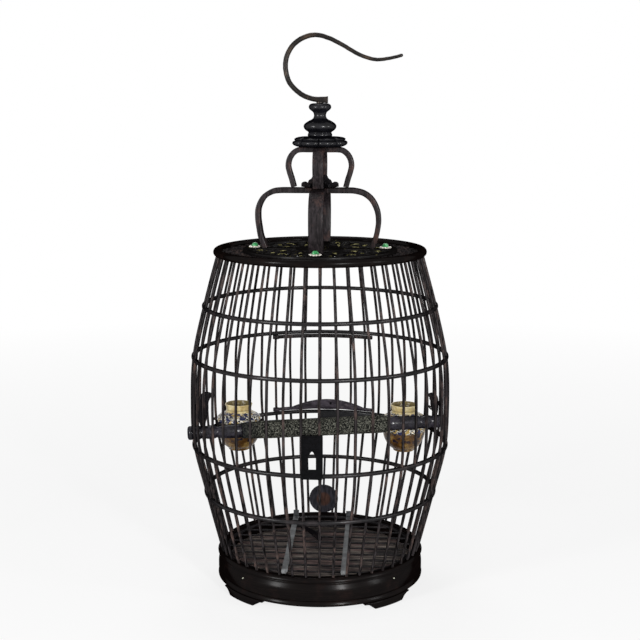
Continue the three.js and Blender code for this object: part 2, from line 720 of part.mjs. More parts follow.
function finial() {
  const [r, h] = [FINIAL_R, FINIAL_H];
  const at = (share) => FINIAL_Z + share * h;
  const bore = HOOK_PIN_D / 2 + GAP;
  const profile = [[0, at(0)], [0.73 * r, at(0)], [0.74 * r, at(0.07)], [0.7 * r, at(0.11)],
    [0.92 * r, at(0.2)], [r, at(0.31)], [0.9 * r, at(0.4)], [0.64 * r, at(0.48)], [0.39 * r, at(0.57)],
    [0.37 * r, at(0.65)], [0.44 * r, at(0.74)], [0.6 * r, at(0.8)], [0.69 * r, at(0.88)], [0.62 * r, at(0.96)],
    [0.44 * r, at(1)],
    [bore, at(1)], [bore, at(1) - HOOK_PIN_DEPTH - GAP], [0, at(1) - HOOK_PIN_DEPTH - GAP]];
  add("finial", turning(profile, 18), BLACK_GLOSS);
}

function hook() {
  const foot = FINIAL_TOP + GAP;
  const middle = foot + 4;
  const top = foot + HOOK_H - HOOK_D / 2;
  const rise = top - middle;
  const line = new THREE.CatmullRomCurve3([
    [2, 0.003], [-9, 0.022], [-21.7, 0.092], [-35.2, 0.243], [-41.3, 0.394], [-42.5, 0.546], [-40.1, 0.697],
    [-32.7, 0.848], [-20.5, 0.957], [-6, 1], [10, 0.955], [27.3, 0.848], [48.2, 0.697], [67.8, 0.621],
    [86.2, 0.643], [103.3, 0.697],
  ].map(([x, share]) => new THREE.Vector3(x, 0, middle + share * rise)));
  const count = 28;
  const sides = 6;
  const rings = [];
  for (let i = 0; i <= count; i++) {
    const centre = line.getPoint(i / count);
    const along = line.getTangent(i / count);
    const across = new THREE.Vector3(-along.z, 0, along.x);
    const thin = Math.max(0, i / count - 0.55) / 0.45;
    const radius = (HOOK_D + (HOOK_TIP_D - HOOK_D) * thin) / 2;
    const ring = [];
    for (let j = 0; j < sides; j++) {
      const angle = (j + 0.5) * 2 * Math.PI / sides;
      ring.push(centre.clone().addScaledVector(across, radius * Math.cos(angle))
        .add(new THREE.Vector3(0, radius * Math.sin(angle), 0)));
    }
    rings.push(ring.reverse());
  }
  const wide = HOOK_BLOCK.width / 2;
  const block = box(HOOK_BLOCK.left, HOOK_BLOCK.right, -wide, wide, foot, foot + HOOK_BLOCK.height);
  const pin = drum(HOOK_PIN_D / 2, FINIAL_TOP - HOOK_PIN_DEPTH, foot + 1, 12);
  add("hook", join([loft(rings), block, pin]), BRONZE);
}

// Perch: a turned rod through a grit sleeve, gripped between two bars at each end

function perch() {
  const face = wallRadius(PERCH_Z) * Math.cos(radians(HALF_STEP));
  const lateral = wallRadius(PERCH_Z) * Math.sin(radians(HALF_STEP));
  const neck = lateral - BAR_D / 2 - 1.3 * GAP;
  const waist = PERCH_END_R - PERCH_WAIST;
  const end = PERCH_LENGTH / 2;
  const half = (grit) => [[GRIT_CORE_R, grit + GAP], [PERCH_END_R, grit + GAP], [PERCH_END_R, grit + 5],
    [waist, grit + 12], [waist, face - 28], [PERCH_END_R, face - 20], [PERCH_END_R, face - BAR_D / 2 - 4],
    [neck, face - BAR_D / 2 - 0.6], [neck, face + BAR_D / 2 + 0.6], [PERCH_KNOB_R, face + BAR_D / 2 + 0.7],
    [PERCH_KNOB_R, end - 1.2], [PERCH_KNOB_R - 1.6, end], [0, end]];
  const profile = [...half(GRIT_LEFT).map(([r, x]) => [r, -x]).reverse(), ...half(GRIT_RIGHT)];
  const lay = (geometry) => geometry.rotateY(Math.PI / 2).translate(0, 0, PERCH_Z);
  add("perch_rod", turned(lay(turning(profile, 12)), PERCH_AZIMUTH), DARK_WOOD);
  const bore = GRIT_CORE_R + GAP;
  const outer = GRIT_D / 2;
  const sleeve = turning([[bore, -GRIT_LEFT], [GRIT_END_D / 2, -GRIT_LEFT], [outer, GRIT_TAPER - GRIT_LEFT],
    [outer, GRIT_RIGHT], [bore, GRIT_RIGHT], [bore, -GRIT_LEFT]], 20);
  add("perch_grit", turned(lay(sleeve), PERCH_AZIMUTH), GRIT);
}

// Two leaf-shaped brackets stand on the perch ends and reach out between the bars to the wall.
function perchBracket(height) {
  const foot = PERCH_Z + PERCH_END_R + GAP;
  const z = (share) => foot + share * height;
  const wall = wallRadius(PERCH_Z) * Math.cos(radians(HALF_STEP)) - BAR_D / 2 - GAP;
  const outline = polygon([[wall - 11, z(0)], [wall - 6, z(0)], [wall - 4.5, z(0.22)], [wall - 4.2, z(0.55)],
    [wall - 5.5, z(0.8)], [wall - 9, z(0.95)], [wall - 14, z(1)], [wall - 21, z(0.955)], [wall - 26, z(0.89)],
    [wall - 26, z(0.82)], [wall - 20, z(0.78)], [wall - 17.5, z(0.62)], [wall - 17.2, z(0.46)],
    [wall - 15.5, z(0.28)], [wall - 12.6, z(0.1)]]);
  const leaf = radialPlate(outline, BRACKET_T);
  const tongue = box(wall - 6, wall - 1, -BRACKET_T / 2, BRACKET_T / 2, z(0.42), z(0.6));
  const pad = box(wall - 2, wall, -11.5, 11.5, z(0.42), z(0.6));
  return join([leaf, tongue, pad]);
}

function perchBrackets() {
  add("perch_bracket_left", turned(perchBracket(BRACKET_H.left), PERCH_AZIMUTH - 180), DARK_WOOD);
  add("perch_bracket_right", turned(perchBracket(BRACKET_H.right), PERCH_AZIMUTH), DARK_WOOD);
}

// Cups in their rings

const CUP_RING_Z = SILL_Z + CUP_RING_ABOVE_SILL;
const CUP_RING_INNER = 0.49 * CUP_BELLY_D + GAP / 2;
const CUP_RING_OUTER = CUP_RING_INNER + CUP_RING_W;
const CUP_CENTRE_R = wallRadius(CUP_RING_Z - CUP_RING_H / 2) - BAR_D / 2 - 2 * GAP - CUP_RING_OUTER;

function cups() {
  const base = CUP_RING_Z + CUP_RING_H / 2 - CUP_SEAT_SHARE * CUP_H;
  const z = (share) => base + share * CUP_H;
  const [mouth, belly, foot] = [CUP_MOUTH_D / 2, CUP_BELLY_D / 2, CUP_FOOT_D / 2];
  const bore = mouth - CUP_WALL;
  const profile = [[0, z(0)], [foot - 1, z(0)], [foot, z(0.025)], [0.66 * belly, z(0.1)],
    [0.8 * belly, z(0.19)], [0.9 * belly, z(0.29)], [0.955 * belly, z(0.4)], [0.974 * belly, z(0.52)],
    [0.974 * belly, z(CUP_SEAT_SHARE)], [belly, z(0.664)], [0.97 * belly, z(0.713)], [0.855 * belly, z(0.762)],
    [0.7 * belly, z(0.795)], [mouth - 0.8, z(0.828)], [mouth - 1.4, z(0.87)], [mouth - 0.7, z(0.95)],
    [mouth, z(1) - 1], [mouth - CUP_WALL / 2, z(1)], [bore, z(0.97)], [bore - 1.4, z(0.84)],
    [0.68 * belly, z(0.755)], [0.84 * belly, z(0.71)], [0.91 * belly, z(0.65)], [0.88 * belly, z(0.5)],
    [0.77 * belly, z(0.33)], [0.5 * belly, z(0.15)], [foot - CUP_WALL, z(0.07)], [0, z(0.06)]];
  const cup = turning(profile, 18).translate(CUP_CENTRE_R, 0, 0);
  add("cup_left", turned(cup, CUP_AZIMUTHS.left), GLAZE);
  add("cup_right", turned(cup, CUP_AZIMUTHS.right), GLAZE);
}

function cupRing(name, azimuth, armAzimuth) {
  const [low, high] = [CUP_RING_Z - CUP_RING_H / 2, CUP_RING_Z + CUP_RING_H / 2];
  const place = (piece) => turned(piece.translate(CUP_CENTRE_R, 0, 0), azimuth);
  const disc = place(drum(CUP_RING_OUTER, low, high, 28));
  const bore = place(drum(CUP_RING_INNER, low - 1, high + 1, 28));
  const wallFace = wallRadius(CUP_RING_Z) * Math.cos(radians(HALF_STEP)) + BAR_D / 2 + 2 * GAP;
  const [foot, top] = [low + GAP, high - GAP];
  const [armHalf, headHalf] = [CUP_ARM_W / 2, CUP_HEAD_W / 2];
  const root = CUP_CENTRE_R + 0.85 * CUP_RING_OUTER;
  const middle = wallFace + CUP_HEAD_T / 2;
  const arm = turned(box(root, middle, -armHalf, armHalf, foot, top), armAzimuth);
  const head = turned(box(wallFace, wallFace + CUP_HEAD_T, -headHalf, headHalf, foot, top), armAzimuth);
  add(name, cut(join([disc, arm, head]), [bore]), LACQUER);
}

// Door in the back wall, hung on the post to its left as seen from inside

const DOOR_LOW = SILL_Z + HOOP_H / 2 + DOOR_CLEAR;
const DOOR_HIGH = HEAD_Z - HOOP_H / 2 - DOOR_CLEAR;
const DOOR_TOP_RAIL_LOW = DOOR_HIGH - DOOR_TOP_RAIL_H;
const HINGE_AZIMUTH = DOOR_AZIMUTH + DOOR_POST;

// A rail with the hinge loop that goes round the post; both keep the wall's radius at the loop.
function doorRail(low, high, loopHigh) {
  const radius = wallRadius((low + loopHigh) / 2);
  const [inner, outer] = [radius - DOOR_RAIL_T / 2, radius + DOOR_RAIL_T / 2];
  const [first, last] = [DOOR_AZIMUTH - DOOR_HALF, DOOR_AZIMUTH + DOOR_HALF];
  const rail = arcRail(inner, outer, steps(first, last, 18), () => low, high);
  const linkAzimuths = [last - 1, (last + HINGE_AZIMUTH) / 2, HINGE_AZIMUTH - 0.9];
  const link = arcRail(inner + GAP, outer - GAP, linkAzimuths, () => low, () => loopHigh);
  const centre = polar(HINGE_AZIMUTH, radius, 0);
  const loop = drum(HINGE_BORE_R + HINGE_WALL, low, loopHigh, 12).translate(centre.x, centre.y, 0);
  const boreSection = roundSection(HINGE_BORE_R, 12);
  const bore = turned(rodAlong(wallPath(low - 1, loopHigh + 1), boreSection), HINGE_AZIMUTH);
  return { parts: [rail, link, loop], bore, outer };
}

function door() {
  const crescent = (azimuth) => {
    const share = Math.min(1, Math.abs(azimuth - DOOR_AZIMUTH) / (0.79 * DOOR_HALF));
    const swell = Math.cos(share * Math.PI / 2) ** 0.9;
    return DOOR_LOW + DOOR_RAIL_END_H + (DOOR_RAIL_CENTRE_H - DOOR_RAIL_END_H) * swell;
  };
  const barAzimuths = allBars.filter(insideDoor);
  const foot = DOOR_LOW + 2;
  const bottom = doorRail(DOOR_LOW, crescent, DOOR_LOW + DOOR_RAIL_END_H);
  const holes = setBars(barSpace(foot, DOOR_LOW + DOOR_RAIL_CENTRE_H + 3), barAzimuths);
  const [root, neck] = [bottom.outer - 0.6, 0.6 * DOOR_PULL_R];
  const pull = turning([[0, root], [neck, root], [neck, root + 1.4], [DOOR_PULL_R, root + 2.4],
    [0.8 * DOOR_PULL_R, FITTINGS_R], [0, FITTINGS_R]], 10);
  pull.rotateY(Math.PI / 2).translate(0, 0, DOOR_LOW + 0.62 * DOOR_RAIL_CENTRE_H);
  const bottomRail = join([...bottom.parts, turned(pull, DOOR_AZIMUTH)]);
  add("door_bottom_rail", cut(bottomRail, [bottom.bore, ...holes]), DARK_WOOD);

  const top = doorRail(DOOR_TOP_RAIL_LOW, () => DOOR_HIGH, DOOR_HIGH);
  const bars = setBars(barBetween(foot + GAP, DOOR_TOP_RAIL_LOW + 2), barAzimuths);
  add("door_bars", cut(join([...top.parts, ...bars]), [top.bore]), LACQUER);
}

// Fittings on the wall: sill block inside the doorway, arched plaque in front, disc at the back

function sillBlock() {
  const low = DOOR_LOW - SILL_BLOCK.height;
  const outer = Math.min(SILL_HOOP.radius - HOOP_W / 2, wallRadius(low) - BAR_D / 2) - GAP;
  const block = arcRail(outer - SILL_BLOCK.width, outer, steps(SILL_BLOCK.left, SILL_BLOCK.right, 4),
    () => low, () => low + SILL_BLOCK.height);
  add("door_sill", block, BLACK_GLOSS);
}

function plaque() {
  const low = SILL_Z - HOOP_H / 2 - GAP;
  const inner = SILL_HOOP.radius + PLAQUE_SEAT;
  const side = PLAQUE_W / 2;
  const plate = box(inner, FITTINGS_R, PLAQUE_SHIFT - side, PLAQUE_SHIFT + side, low, low + PLAQUE_H);
  const sill = low + WINDOW_RISE;
  const spring = sill + WINDOW_SPRING * WINDOW_H;
  const half = WINDOW_W / 2;
  const arch = polygon([[-half, sill], [half, sill], [half, spring], [0.6 * half, sill + 0.84 * WINDOW_H],
    [0, sill + WINDOW_H], [-0.6 * half, sill + 0.84 * WINDOW_H], [-half, spring]]);
  const through = 4 * (FITTINGS_R - inner);
  const opening = new THREE.ExtrudeGeometry(arch, { depth: through, bevelEnabled: false });
  opening.rotateX(Math.PI / 2).rotateZ(Math.PI / 2).translate(inner - through / 2, PLAQUE_SHIFT, 0);
  const grooves = [-HALF_STEP, HALF_STEP].map((away) => barSpace(low - 3, low + PLAQUE_H + 3)
    .rotateZ(radians(away)));
  const hoopSpace = box(inner - 1, HOOP_FACE_R * FACET + GAP, -PLAQUE_W, PLAQUE_W,
    low - 1, SILL_Z + HOOP_H / 2 + GAP);
  add("front_plaque", turned(cut(plate, [opening, ...grooves, hoopSpace]), FRONT_AZIMUTH), DARK_WOOD);
}

function backDisc() {
  const half = DISC_D / 2;
  const z = FLOOR_TOP + DISC_RISE + half;
  const inner = wallRadius(RING_TOP) - BAR_D / 2 - GAP - DISC_T;
  const disc = turning([[0, inner], [half - 1.2, inner], [half, inner + 1.2], [half, inner + DISC_T - 1.2],
    [half - 1.2, inner + DISC_T], [0, inner + DISC_T]], 24).rotateY(Math.PI / 2).translate(0, 0, z);
  const hoopFoot = RING_TOP + HOOP_1.rise - HOOP_H / 2 - GAP;
  const stem = rodAlong([new THREE.Vector3(inner + DISC_T / 2, 0, z + half - 3),
    new THREE.Vector3(HOOP_1.radius - 1, 0, hoopFoot - 1),
    new THREE.Vector3(HOOP_1.radius - 1, 0, hoopFoot)], roundSection(DISC_STEM_D / 2, 6));
  const hung = turned(join([disc, stem]), DOOR_AZIMUTH).translate(-DISC_SHIFT, 0, 0);
  add("back_disc", hung, DARK_WOOD);
}

baseRing();
feet();
floor();
barSets();
hoop("hoop_1", HOOP_1);
hoop("sill_hoop", SILL_HOOP);
hoop("head_hoop", HEAD_HOOP);
hoop("hoop_4", HOOP_4);
rim();
topGrille();
topPanel();
studs();
lowerArms();
hub();
upperArms();
collar();
finial();
hook();
perch();
perchBrackets();
cups();
cupRing("cup_ring_left", CUP_AZIMUTHS.left, CUP_ARM_AZIMUTHS.left);
cupRing("cup_ring_right", CUP_AZIMUTHS.right, CUP_ARM_AZIMUTHS.right);
door();
sillBlock();
plaque();
backDisc();

export default cage;
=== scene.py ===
import math
import random

import bpy
from mathutils import Matrix, Vector, noise


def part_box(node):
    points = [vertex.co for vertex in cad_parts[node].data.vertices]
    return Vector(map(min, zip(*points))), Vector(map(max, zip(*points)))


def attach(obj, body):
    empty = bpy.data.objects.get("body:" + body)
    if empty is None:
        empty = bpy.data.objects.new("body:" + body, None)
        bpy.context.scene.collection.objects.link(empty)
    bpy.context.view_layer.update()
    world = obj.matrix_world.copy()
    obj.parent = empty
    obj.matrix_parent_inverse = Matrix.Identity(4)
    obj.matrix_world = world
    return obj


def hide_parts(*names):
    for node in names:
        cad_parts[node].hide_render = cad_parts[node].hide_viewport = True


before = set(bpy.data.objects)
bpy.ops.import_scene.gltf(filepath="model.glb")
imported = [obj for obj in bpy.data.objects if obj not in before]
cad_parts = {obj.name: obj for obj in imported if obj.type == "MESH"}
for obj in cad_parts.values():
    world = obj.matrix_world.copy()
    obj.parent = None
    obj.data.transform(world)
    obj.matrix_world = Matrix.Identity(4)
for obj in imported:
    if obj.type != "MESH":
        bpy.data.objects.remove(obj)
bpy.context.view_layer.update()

MM = 0.001

# Sizes read from the frame, in millimetres


def low(node):
    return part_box(node)[0] / MM


def high(node):
    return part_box(node)[1] / MM


def middle(node):
    return (low(node) + high(node)) / 2


def heights(node):
    return low(node).z, high(node).z


BAR_COUNT = 48
BAR_D = 3.5
STEP = 360 / BAR_COUNT
FACET = 1 / math.cos(math.pi / BAR_COUNT)
HOOP_W = 6.0
HOOPS = ["hoop_1", "sill_hoop", "head_hoop", "hoop_4"]
BELLY_Z = 239.4
BELLY_R = 163.0
WALL_TOP_R = 127.3
DOOR_AZIMUTH = 180
DOOR_HALF = 22.5
DOOR_POST = 26.25
DOOR_RAIL_T = 4.6
QUARTERS = [0, 90, 180, 270]
RING_SIDES = 240


def outer_radius(node):
    """Radius of a ring of the wall, from its middle to its outer face."""
    return high(node).x / FACET


RING_TOP = high("base_ring").z
FOOT_TOP = low("base_ring").z
BASE_R = outer_radius("base_ring")
BASE_INNER_R = 113.0
RIM_Z = middle("top_rim").z
RIM_HALF = high("top_rim").z - RIM_Z
RIM_R = outer_radius("top_rim") - RIM_HALF
SILL_Z = middle("sill_hoop").z
HEAD_Z = middle("head_hoop").z
PERCH_Z = middle("perch_grit").z

# The wall line: stations of height and radius that the bars pass through
BAR_FOOT_Z = RING_TOP - 4
WALL = [(BAR_FOOT_Z, 126.0)]
WALL += [(middle(name).z, outer_radius(name) - HOOP_W / 2) for name in HOOPS[:2]]
WALL += [(BELLY_Z, BELLY_R)]
WALL += [(middle(name).z, outer_radius(name) - HOOP_W / 2) for name in HOOPS[2:]]
WALL += [(RIM_Z, WALL_TOP_R)]
WALL_SLOPES = [(after[1] - before[1]) / (after[0] - before[0])
               for before, after in zip(WALL[:1] + WALL[:-1], WALL[1:] + WALL[-1:])]


def wall_index(z):
    """Index of the last station of the wall line that lies below a height."""
    return max(i for i in range(len(WALL) - 1) if i == 0 or WALL[i][0] <= z)


def wall_radius(z):
    """Smooth radius of the wall at a height."""
    index = wall_index(z)
    (z0, r0), (z1, r1) = WALL[index], WALL[index + 1]
    span = z1 - z0
    t = (z - z0) / span
    return (r0 * (1 + 2 * t) * (1 - t) ** 2 + r1 * t * t * (3 - 2 * t)
            + span * WALL_SLOPES[index] * t * (1 - t) ** 2 - span * WALL_SLOPES[index + 1] * t * t * (1 - t))


def straight_radius(z):
    """Radius of the frame's wall, which is straight between its stations."""
    index = wall_index(z)
    (z0, r0), (z1, r1) = WALL[index], WALL[index + 1]
    return r0 + (r1 - r0) * (z - z0) / (z1 - z0)


def polar(azimuth, radius, z):
    angle = math.radians(azimuth)
    return Vector((radius * math.sin(angle), -radius * math.cos(angle), z))


def spin(degrees):
    return Matrix.Rotation(math.radians(degrees), 4, "Z")


def facing(azimuth):
    """Turns a shape drawn with +X outward to an azimuth."""
    return spin(azimuth - 90)


def move(*spot):
    """A shift by x, y and z, or by one vector."""
    return Matrix.Translation(spot[0] if len(spot) == 1 else spot)


TURN_X, TURN_Y, TURN_Z = (Matrix.Rotation(math.pi / 2, 4, axis) for axis in "XYZ")


# Camera, at the photograph's angle: its fit gives distance, height, tilt and focal length
CAMERA_DISTANCE = 1.66365
CAMERA_HEIGHT = 0.62767
CAMERA_TILT = 9.8
CAMERA_AZIMUTH = 4.0
SENSOR = 36
FOCAL_PIXELS = 1332.6
PHOTO_WIDTH = 640


def add_camera():
    data = bpy.data.cameras.new("photo_camera")
    data.sensor_width = SENSOR
    data.lens = FOCAL_PIXELS * SENSOR / PHOTO_WIDTH
    camera = bpy.data.objects.new("photo_camera", data)
    bpy.context.collection.objects.link(camera)
    turn = math.radians(CAMERA_AZIMUTH)
    camera.location = (CAMERA_DISTANCE * math.sin(turn), -CAMERA_DISTANCE * math.cos(turn), CAMERA_HEIGHT)
    camera.rotation_euler = (math.radians(90 - CAMERA_TILT), 0, turn)
    bpy.context.scene.camera = camera


# Material helpers


def linear(color):
    """Linear colour from a written 0 to 255 screen colour."""
    parts = [c / 255 for c in color]
    return tuple(c / 12.92 if c <= 0.04045 else ((c + 0.055) / 1.055) ** 2.4 for c in parts) + (1,)


def add_node(tree, kind, inputs=(), **settings):
    """A shader node; each input is given as a value or as the socket that feeds it."""
    made = tree.nodes.new("ShaderNode" + kind)
    for key, value in settings.items():
        setattr(made, key, value)
    for key, value in dict(inputs).items():
        if isinstance(value, bpy.types.NodeSocket):
            tree.links.new(value, made.inputs[key])
        else:
            made.inputs[key].default_value = value
    return made


class Finish:
    """A node material, built up one node at a time."""

    def __init__(self, name, **values):
        self.material = bpy.data.materials.new(name)
        self.material.use_nodes = True
        self.tree = self.material.node_tree
        self.shader = self.tree.nodes["Principled BSDF"]
        for key, value in values.items():
            self.shader.inputs[key].default_value = value

    def node(self, kind, inputs=(), **settings):
        return add_node(self.tree, kind, inputs, **settings)

    def math(self, operation, *values):
        return self.node("Math", dict(enumerate(values)), operation=operation).outputs[0]

    def coordinates(self, *stretch):
        """Object coordinates; a pattern is drawn out along an axis whose stretch is small."""
        place = self.node("TexCoord").outputs["Object"]
        return self.node("Mapping", {"Vector": place, "Scale": stretch or (1, 1, 1)}).outputs["Vector"]

    def split(self, vector):
        return self.node("SeparateXYZ", {"Vector": vector}).outputs

    def around(self, along):
        """Coordinates that run round the Z axis: arc length, radius and height."""
        x, y, z = self.split(self.node("TexCoord").outputs["Object"])
        radius = self.math("SQRT", self.math("MULTIPLY_ADD", y, y, self.math("MULTIPLY", x, x)))
        arc = self.math("MULTIPLY", self.math("ARCTAN2", y, x), 0.14 * along)
        return self.node("CombineXYZ", {0: arc, 1: radius, 2: z}).outputs[0]

    def noise(self, vector, scale, detail=3.0, roughness=0.55):
        inputs = {"Vector": vector, "Scale": scale, "Detail": detail, "Roughness": roughness}
        return self.node("TexNoise", inputs).outputs["Fac"]

    def ramp(self, value, *stops):
        made = self.node("ValToRGB", {"Fac": value})
        elements = made.color_ramp.elements
        while len(elements) < len(stops):
            elements.new(0.5)
        for element, (place, color) in zip(elements, stops):
            element.position = place
            element.color = linear(color)
        return made.outputs["Color"]

    def mix(self, factor, a, b):
        return self.node("Mix", {0: factor, 6: a, 7: b}, data_type="RGBA").outputs[2]

    def span(self, value, start, end, to_start=0.0, to_end=1.0):
        inputs = {"Value": value, "From Min": start, "From Max": end, "To Min": to_start, "To Max": to_end}
        return self.node("MapRange", inputs, clamp=True).outputs["Result"]

    def set(self, key, socket):
        self.tree.links.new(socket, self.shader.inputs[key])

    def polish(self):
        """Gloss that fades toward the edges, as on rubbed lacquer."""
        side_on = self.node("LayerWeight", {"Blend": 0.5}).outputs["Facing"]
        self.set("Specular IOR Level", self.span(side_on, 0.12, 0.55, 0.5, 0.0))

    def done(self, color, rough, *layers):
        """The material, with its colour, its roughness where that varies, and its relief.

        A layer of relief is a height socket and its depth in millimetres, the coarsest first.
        """
        self.set("Base Color", color)
        if rough is not None:
            self.set("Roughness", rough)
        normal = None
        for height, distance in layers:
            made = self.node("Bump", {"Height": height, "Distance": distance * MM, "Strength": 1.0})
            if normal:
                self.tree.links.new(normal, made.inputs["Normal"])
            normal = made.outputs["Normal"]
        self.set("Normal", normal)
        return self.material


# Materials

BAMBOO, WOOD, BLACK = "lacquered_bamboo", "carved_hardwood", "black_lacquer"
PLAIN, UPRIGHT, ROUND = (1, 1, 1), (1, 1, 0.03), None

# Finish, its usual slot, material, run of the fibres, their dark, middle and worn colours,
# least and greatest roughness, IOR, scale of the fibres and depth of the relief
LACQUERS = [
    ("bars", BAMBOO, "lacquered_splints", UPRIGHT,
     (4, 3, 3), (52, 48, 49), (100, 80, 72), (0.2, 0.36), 1.15, 520),
    ("hoops", BAMBOO, "lacquered_hoops", ROUND, (9, 8, 8), (36, 34, 36), (64, 56, 56), (0.2, 0.34), 1.26),
    ("base", BAMBOO, "polished_lacquer", ROUND,
     (8, 5, 5), (14, 10, 9), (30, 19, 17), (0.2, 0.28), 1.15, 900, 0.006),
    ("arms", WOOD, "arm_wood", (1, 1, 0.07),
     (18, 15, 16), (46, 41, 43), (84, 60, 52), (0.24, 0.4), 1.24, 520),
    ("carving", WOOD, "carved_wood", PLAIN, (10, 9, 10), (26, 24, 27), (56, 48, 46), (0.2, 0.36), 1.15, 500),
    ("turned", WOOD, "turned_wood", PLAIN,
     (13, 12, 16), (38, 36, 44), (66, 61, 70), (0.16, 0.26), 1.38, 260),
    ("rail", WOOD, "door_rail_wood", (0.3, 1, 1),
     (32, 28, 34), (72, 66, 74), (104, 92, 92), (0.2, 0.34), 1.24, 300),
    ("plaque", WOOD, "plaque_wood", PLAIN, (4, 4, 5), (8, 8, 10), (18, 17, 21), (0.2, 0.3), 1.15, 260),
]


def lacquered(name, stretch, dark, mid, wear, roughness, ior, fibre=900, relief=0.05):
    """Dark lacquer over bamboo or wood: fine fibres, slow patches of brown wear, uneven gloss."""
    finish = Finish(name, IOR=ior)
    vector = finish.coordinates(*stretch) if stretch else finish.around(0.04)
    fibres = finish.noise(vector, fibre, detail=2.0, roughness=0.7)
    patches = finish.noise(finish.coordinates(), 45, detail=4.0, roughness=0.6)
    base = finish.ramp(fibres, (0.38, dark), (0.64, mid))
    worn = finish.ramp(fibres, (0.36, mid), (0.68, wear))
    finish.polish()
    return finish.done(finish.mix(finish.span(patches, 0.52, 0.72), base, worn),
                       finish.span(patches, 0.3, 0.7, roughness[1], roughness[0]),
                       (patches, 3 * relief), (fibres, relief))


def black_gloss():
    finish = Finish("black_gloss_lacquer", IOR=1.34)
    haze = finish.noise(finish.coordinates(), 160, detail=5.0)
    finish.polish()
    return finish.done(finish.ramp(haze, (0.3, (8, 8, 10)), (0.75, (22, 22, 27))),
                       finish.span(haze, 0.3, 0.75, 0.2, 0.32), (haze, 0.03))


def bronze():
    finish = Finish("forged_bronze", Metallic=0.85)
    plain = finish.coordinates()
    dents = finish.noise(plain, 150)
    patina = finish.noise(plain, 60, detail=5.0, roughness=0.65)
    scratches = finish.noise(finish.coordinates(0.15, 1, 1), 1500, detail=2.0)
    return finish.done(finish.ramp(patina, (0.3, (17, 16, 16)), (0.5, (36, 33, 31)), (0.72, (66, 54, 44))),
                       finish.span(dents, 0.3, 0.7, 0.32, 0.5), (dents, 0.35), (scratches, 0.03))


def grey_metal():
    finish = Finish("grey_strap_metal", Metallic=0.6)
    plain = finish.coordinates()
    scratches = finish.noise(finish.coordinates(1, 0.05, 1), 1300, detail=2.0)
    stain = finish.noise(plain, 70, detail=5.0)
    bright = finish.span(finish.split(plain)[1], -0.098, -0.106)
    dull = finish.ramp(stain, (0.3, (44, 46, 48)), (0.7, (84, 86, 88)))
    return finish.done(finish.mix(bright, dull, linear((150, 152, 154))),
                       finish.span(stain, 0.3, 0.7, 0.6, 0.42), (stain, 0.1), (scratches, 0.03))


def grit():
    """Dark grit with light grains and a few glittering ones, worn smooth toward its left end."""
    finish = Finish("perch_grit", IOR=1.1)
    plain = finish.coordinates()
    coarse = finish.noise(plain, 620, detail=4.0, roughness=0.75)
    specks = finish.node("TexVoronoi", {"Vector": plain, "Scale": 800.0}).outputs["Distance"]
    tone = finish.ramp(coarse, (0.42, (5, 6, 5)), (0.51, (32, 33, 31)), (0.6, (118, 118, 108)))
    place = finish.split(plain)
    aside = finish.math("MULTIPLY_ADD", place[1], 0.268, place[0])
    tone = finish.mix(finish.span(aside, -0.078, -0.102, 0.0, 0.75), tone, linear((20, 21, 25)))
    sparse = finish.span(finish.noise(plain, 400, detail=1.0), 0.55, 0.6)
    lit = finish.math("MULTIPLY", finish.span(specks, 0.2, 0.12), sparse)
    return finish.done(finish.mix(lit, tone, linear((178, 176, 160))),
                       finish.span(coarse, 0.3, 0.7, 0.95, 0.65), (coarse, 0.6), (specks, 0.3))


def glaze(node):
    """Cream neck, then a belt of white, blue and black scrolls, then dark spots over orange-brown."""
    finish = Finish("glaze_of_" + node, IOR=1.4)
    plain = finish.coordinates()
    height = finish.split(plain)[2]
    clouds = finish.noise(plain, 85, detail=5.0, roughness=0.6)
    cream = finish.ramp(clouds, (0.3, (150, 120, 66)), (0.48, (204, 184, 128)), (0.7, (240, 228, 188)))
    brown = finish.ramp(clouds, (0.34, (44, 26, 11)), (0.5, (88, 60, 26)), (0.68, (146, 116, 60)))
    curls = finish.node("TexWave", {"Vector": plain, "Scale": 84.0, "Distortion": 20.0, "Detail": 1.0,
                                    "Detail Scale": 1.8}, wave_type="RINGS").outputs["Fac"]
    leaves = finish.node("TexVoronoi", {"Vector": plain, "Scale": 165.0}, feature="SMOOTH_F1")
    leaves = leaves.outputs["Distance"]
    lines = finish.ramp(curls, (0.3, (14, 13, 16)), (0.5, (30, 28, 32)), (0.58, (206, 198, 172)),
                        (0.75, (236, 232, 220)))
    petals = finish.mix(finish.span(leaves, 0.42, 0.34), lines, linear((34, 40, 78)))
    amount = finish.noise(plain, 210, detail=1.0)
    belt = finish.mix(finish.span(amount, 0.58, 0.61), petals, linear((178, 150, 84)))
    spots = finish.mix(finish.span(leaves, 0.4, 0.34), brown, linear((28, 20, 34)))
    lower = low(node).z * MM
    tall = high(node).z * MM - lower

    def above(share, soft=0.012):
        wave = finish.math("MULTIPLY_ADD", amount, 0.06 * tall, height)
        return finish.span(wave, lower + (share + 0.03 - soft) * tall, lower + (share + 0.03 + soft) * tall)

    color = finish.mix(above(0.24, 0.03), brown, spots)
    color = finish.mix(above(0.44), color, belt)
    color = finish.mix(above(0.83), color, cream)
    # Painted shade in the mouth: a dark line just inside the lip and a darker bore, where less light reaches.
    axis = middle(node) * MM
    flat = finish.node("VectorMath", {0: plain, 1: (1, 1, 0)}, operation="MULTIPLY").outputs["Vector"]
    away = finish.node("VectorMath", {0: flat, 1: (axis.x, axis.y, 0)}, operation="DISTANCE").outputs["Value"]
    near_top = finish.span(height, lower + 0.84 * tall, lower + 0.86 * tall)
    for start, end, tone in ((0.0166, 0.0164, (58, 44, 24)), (0.0164, 0.0161, (112, 98, 58))):
        mouth = finish.math("MULTIPLY", finish.span(away, start, end), near_top)
        color = finish.mix(mouth, color, linear(tone))
    return finish.done(color, finish.span(clouds, 0.3, 0.7, 0.16, 0.32), (clouds, 0.2), (curls, 0.12))


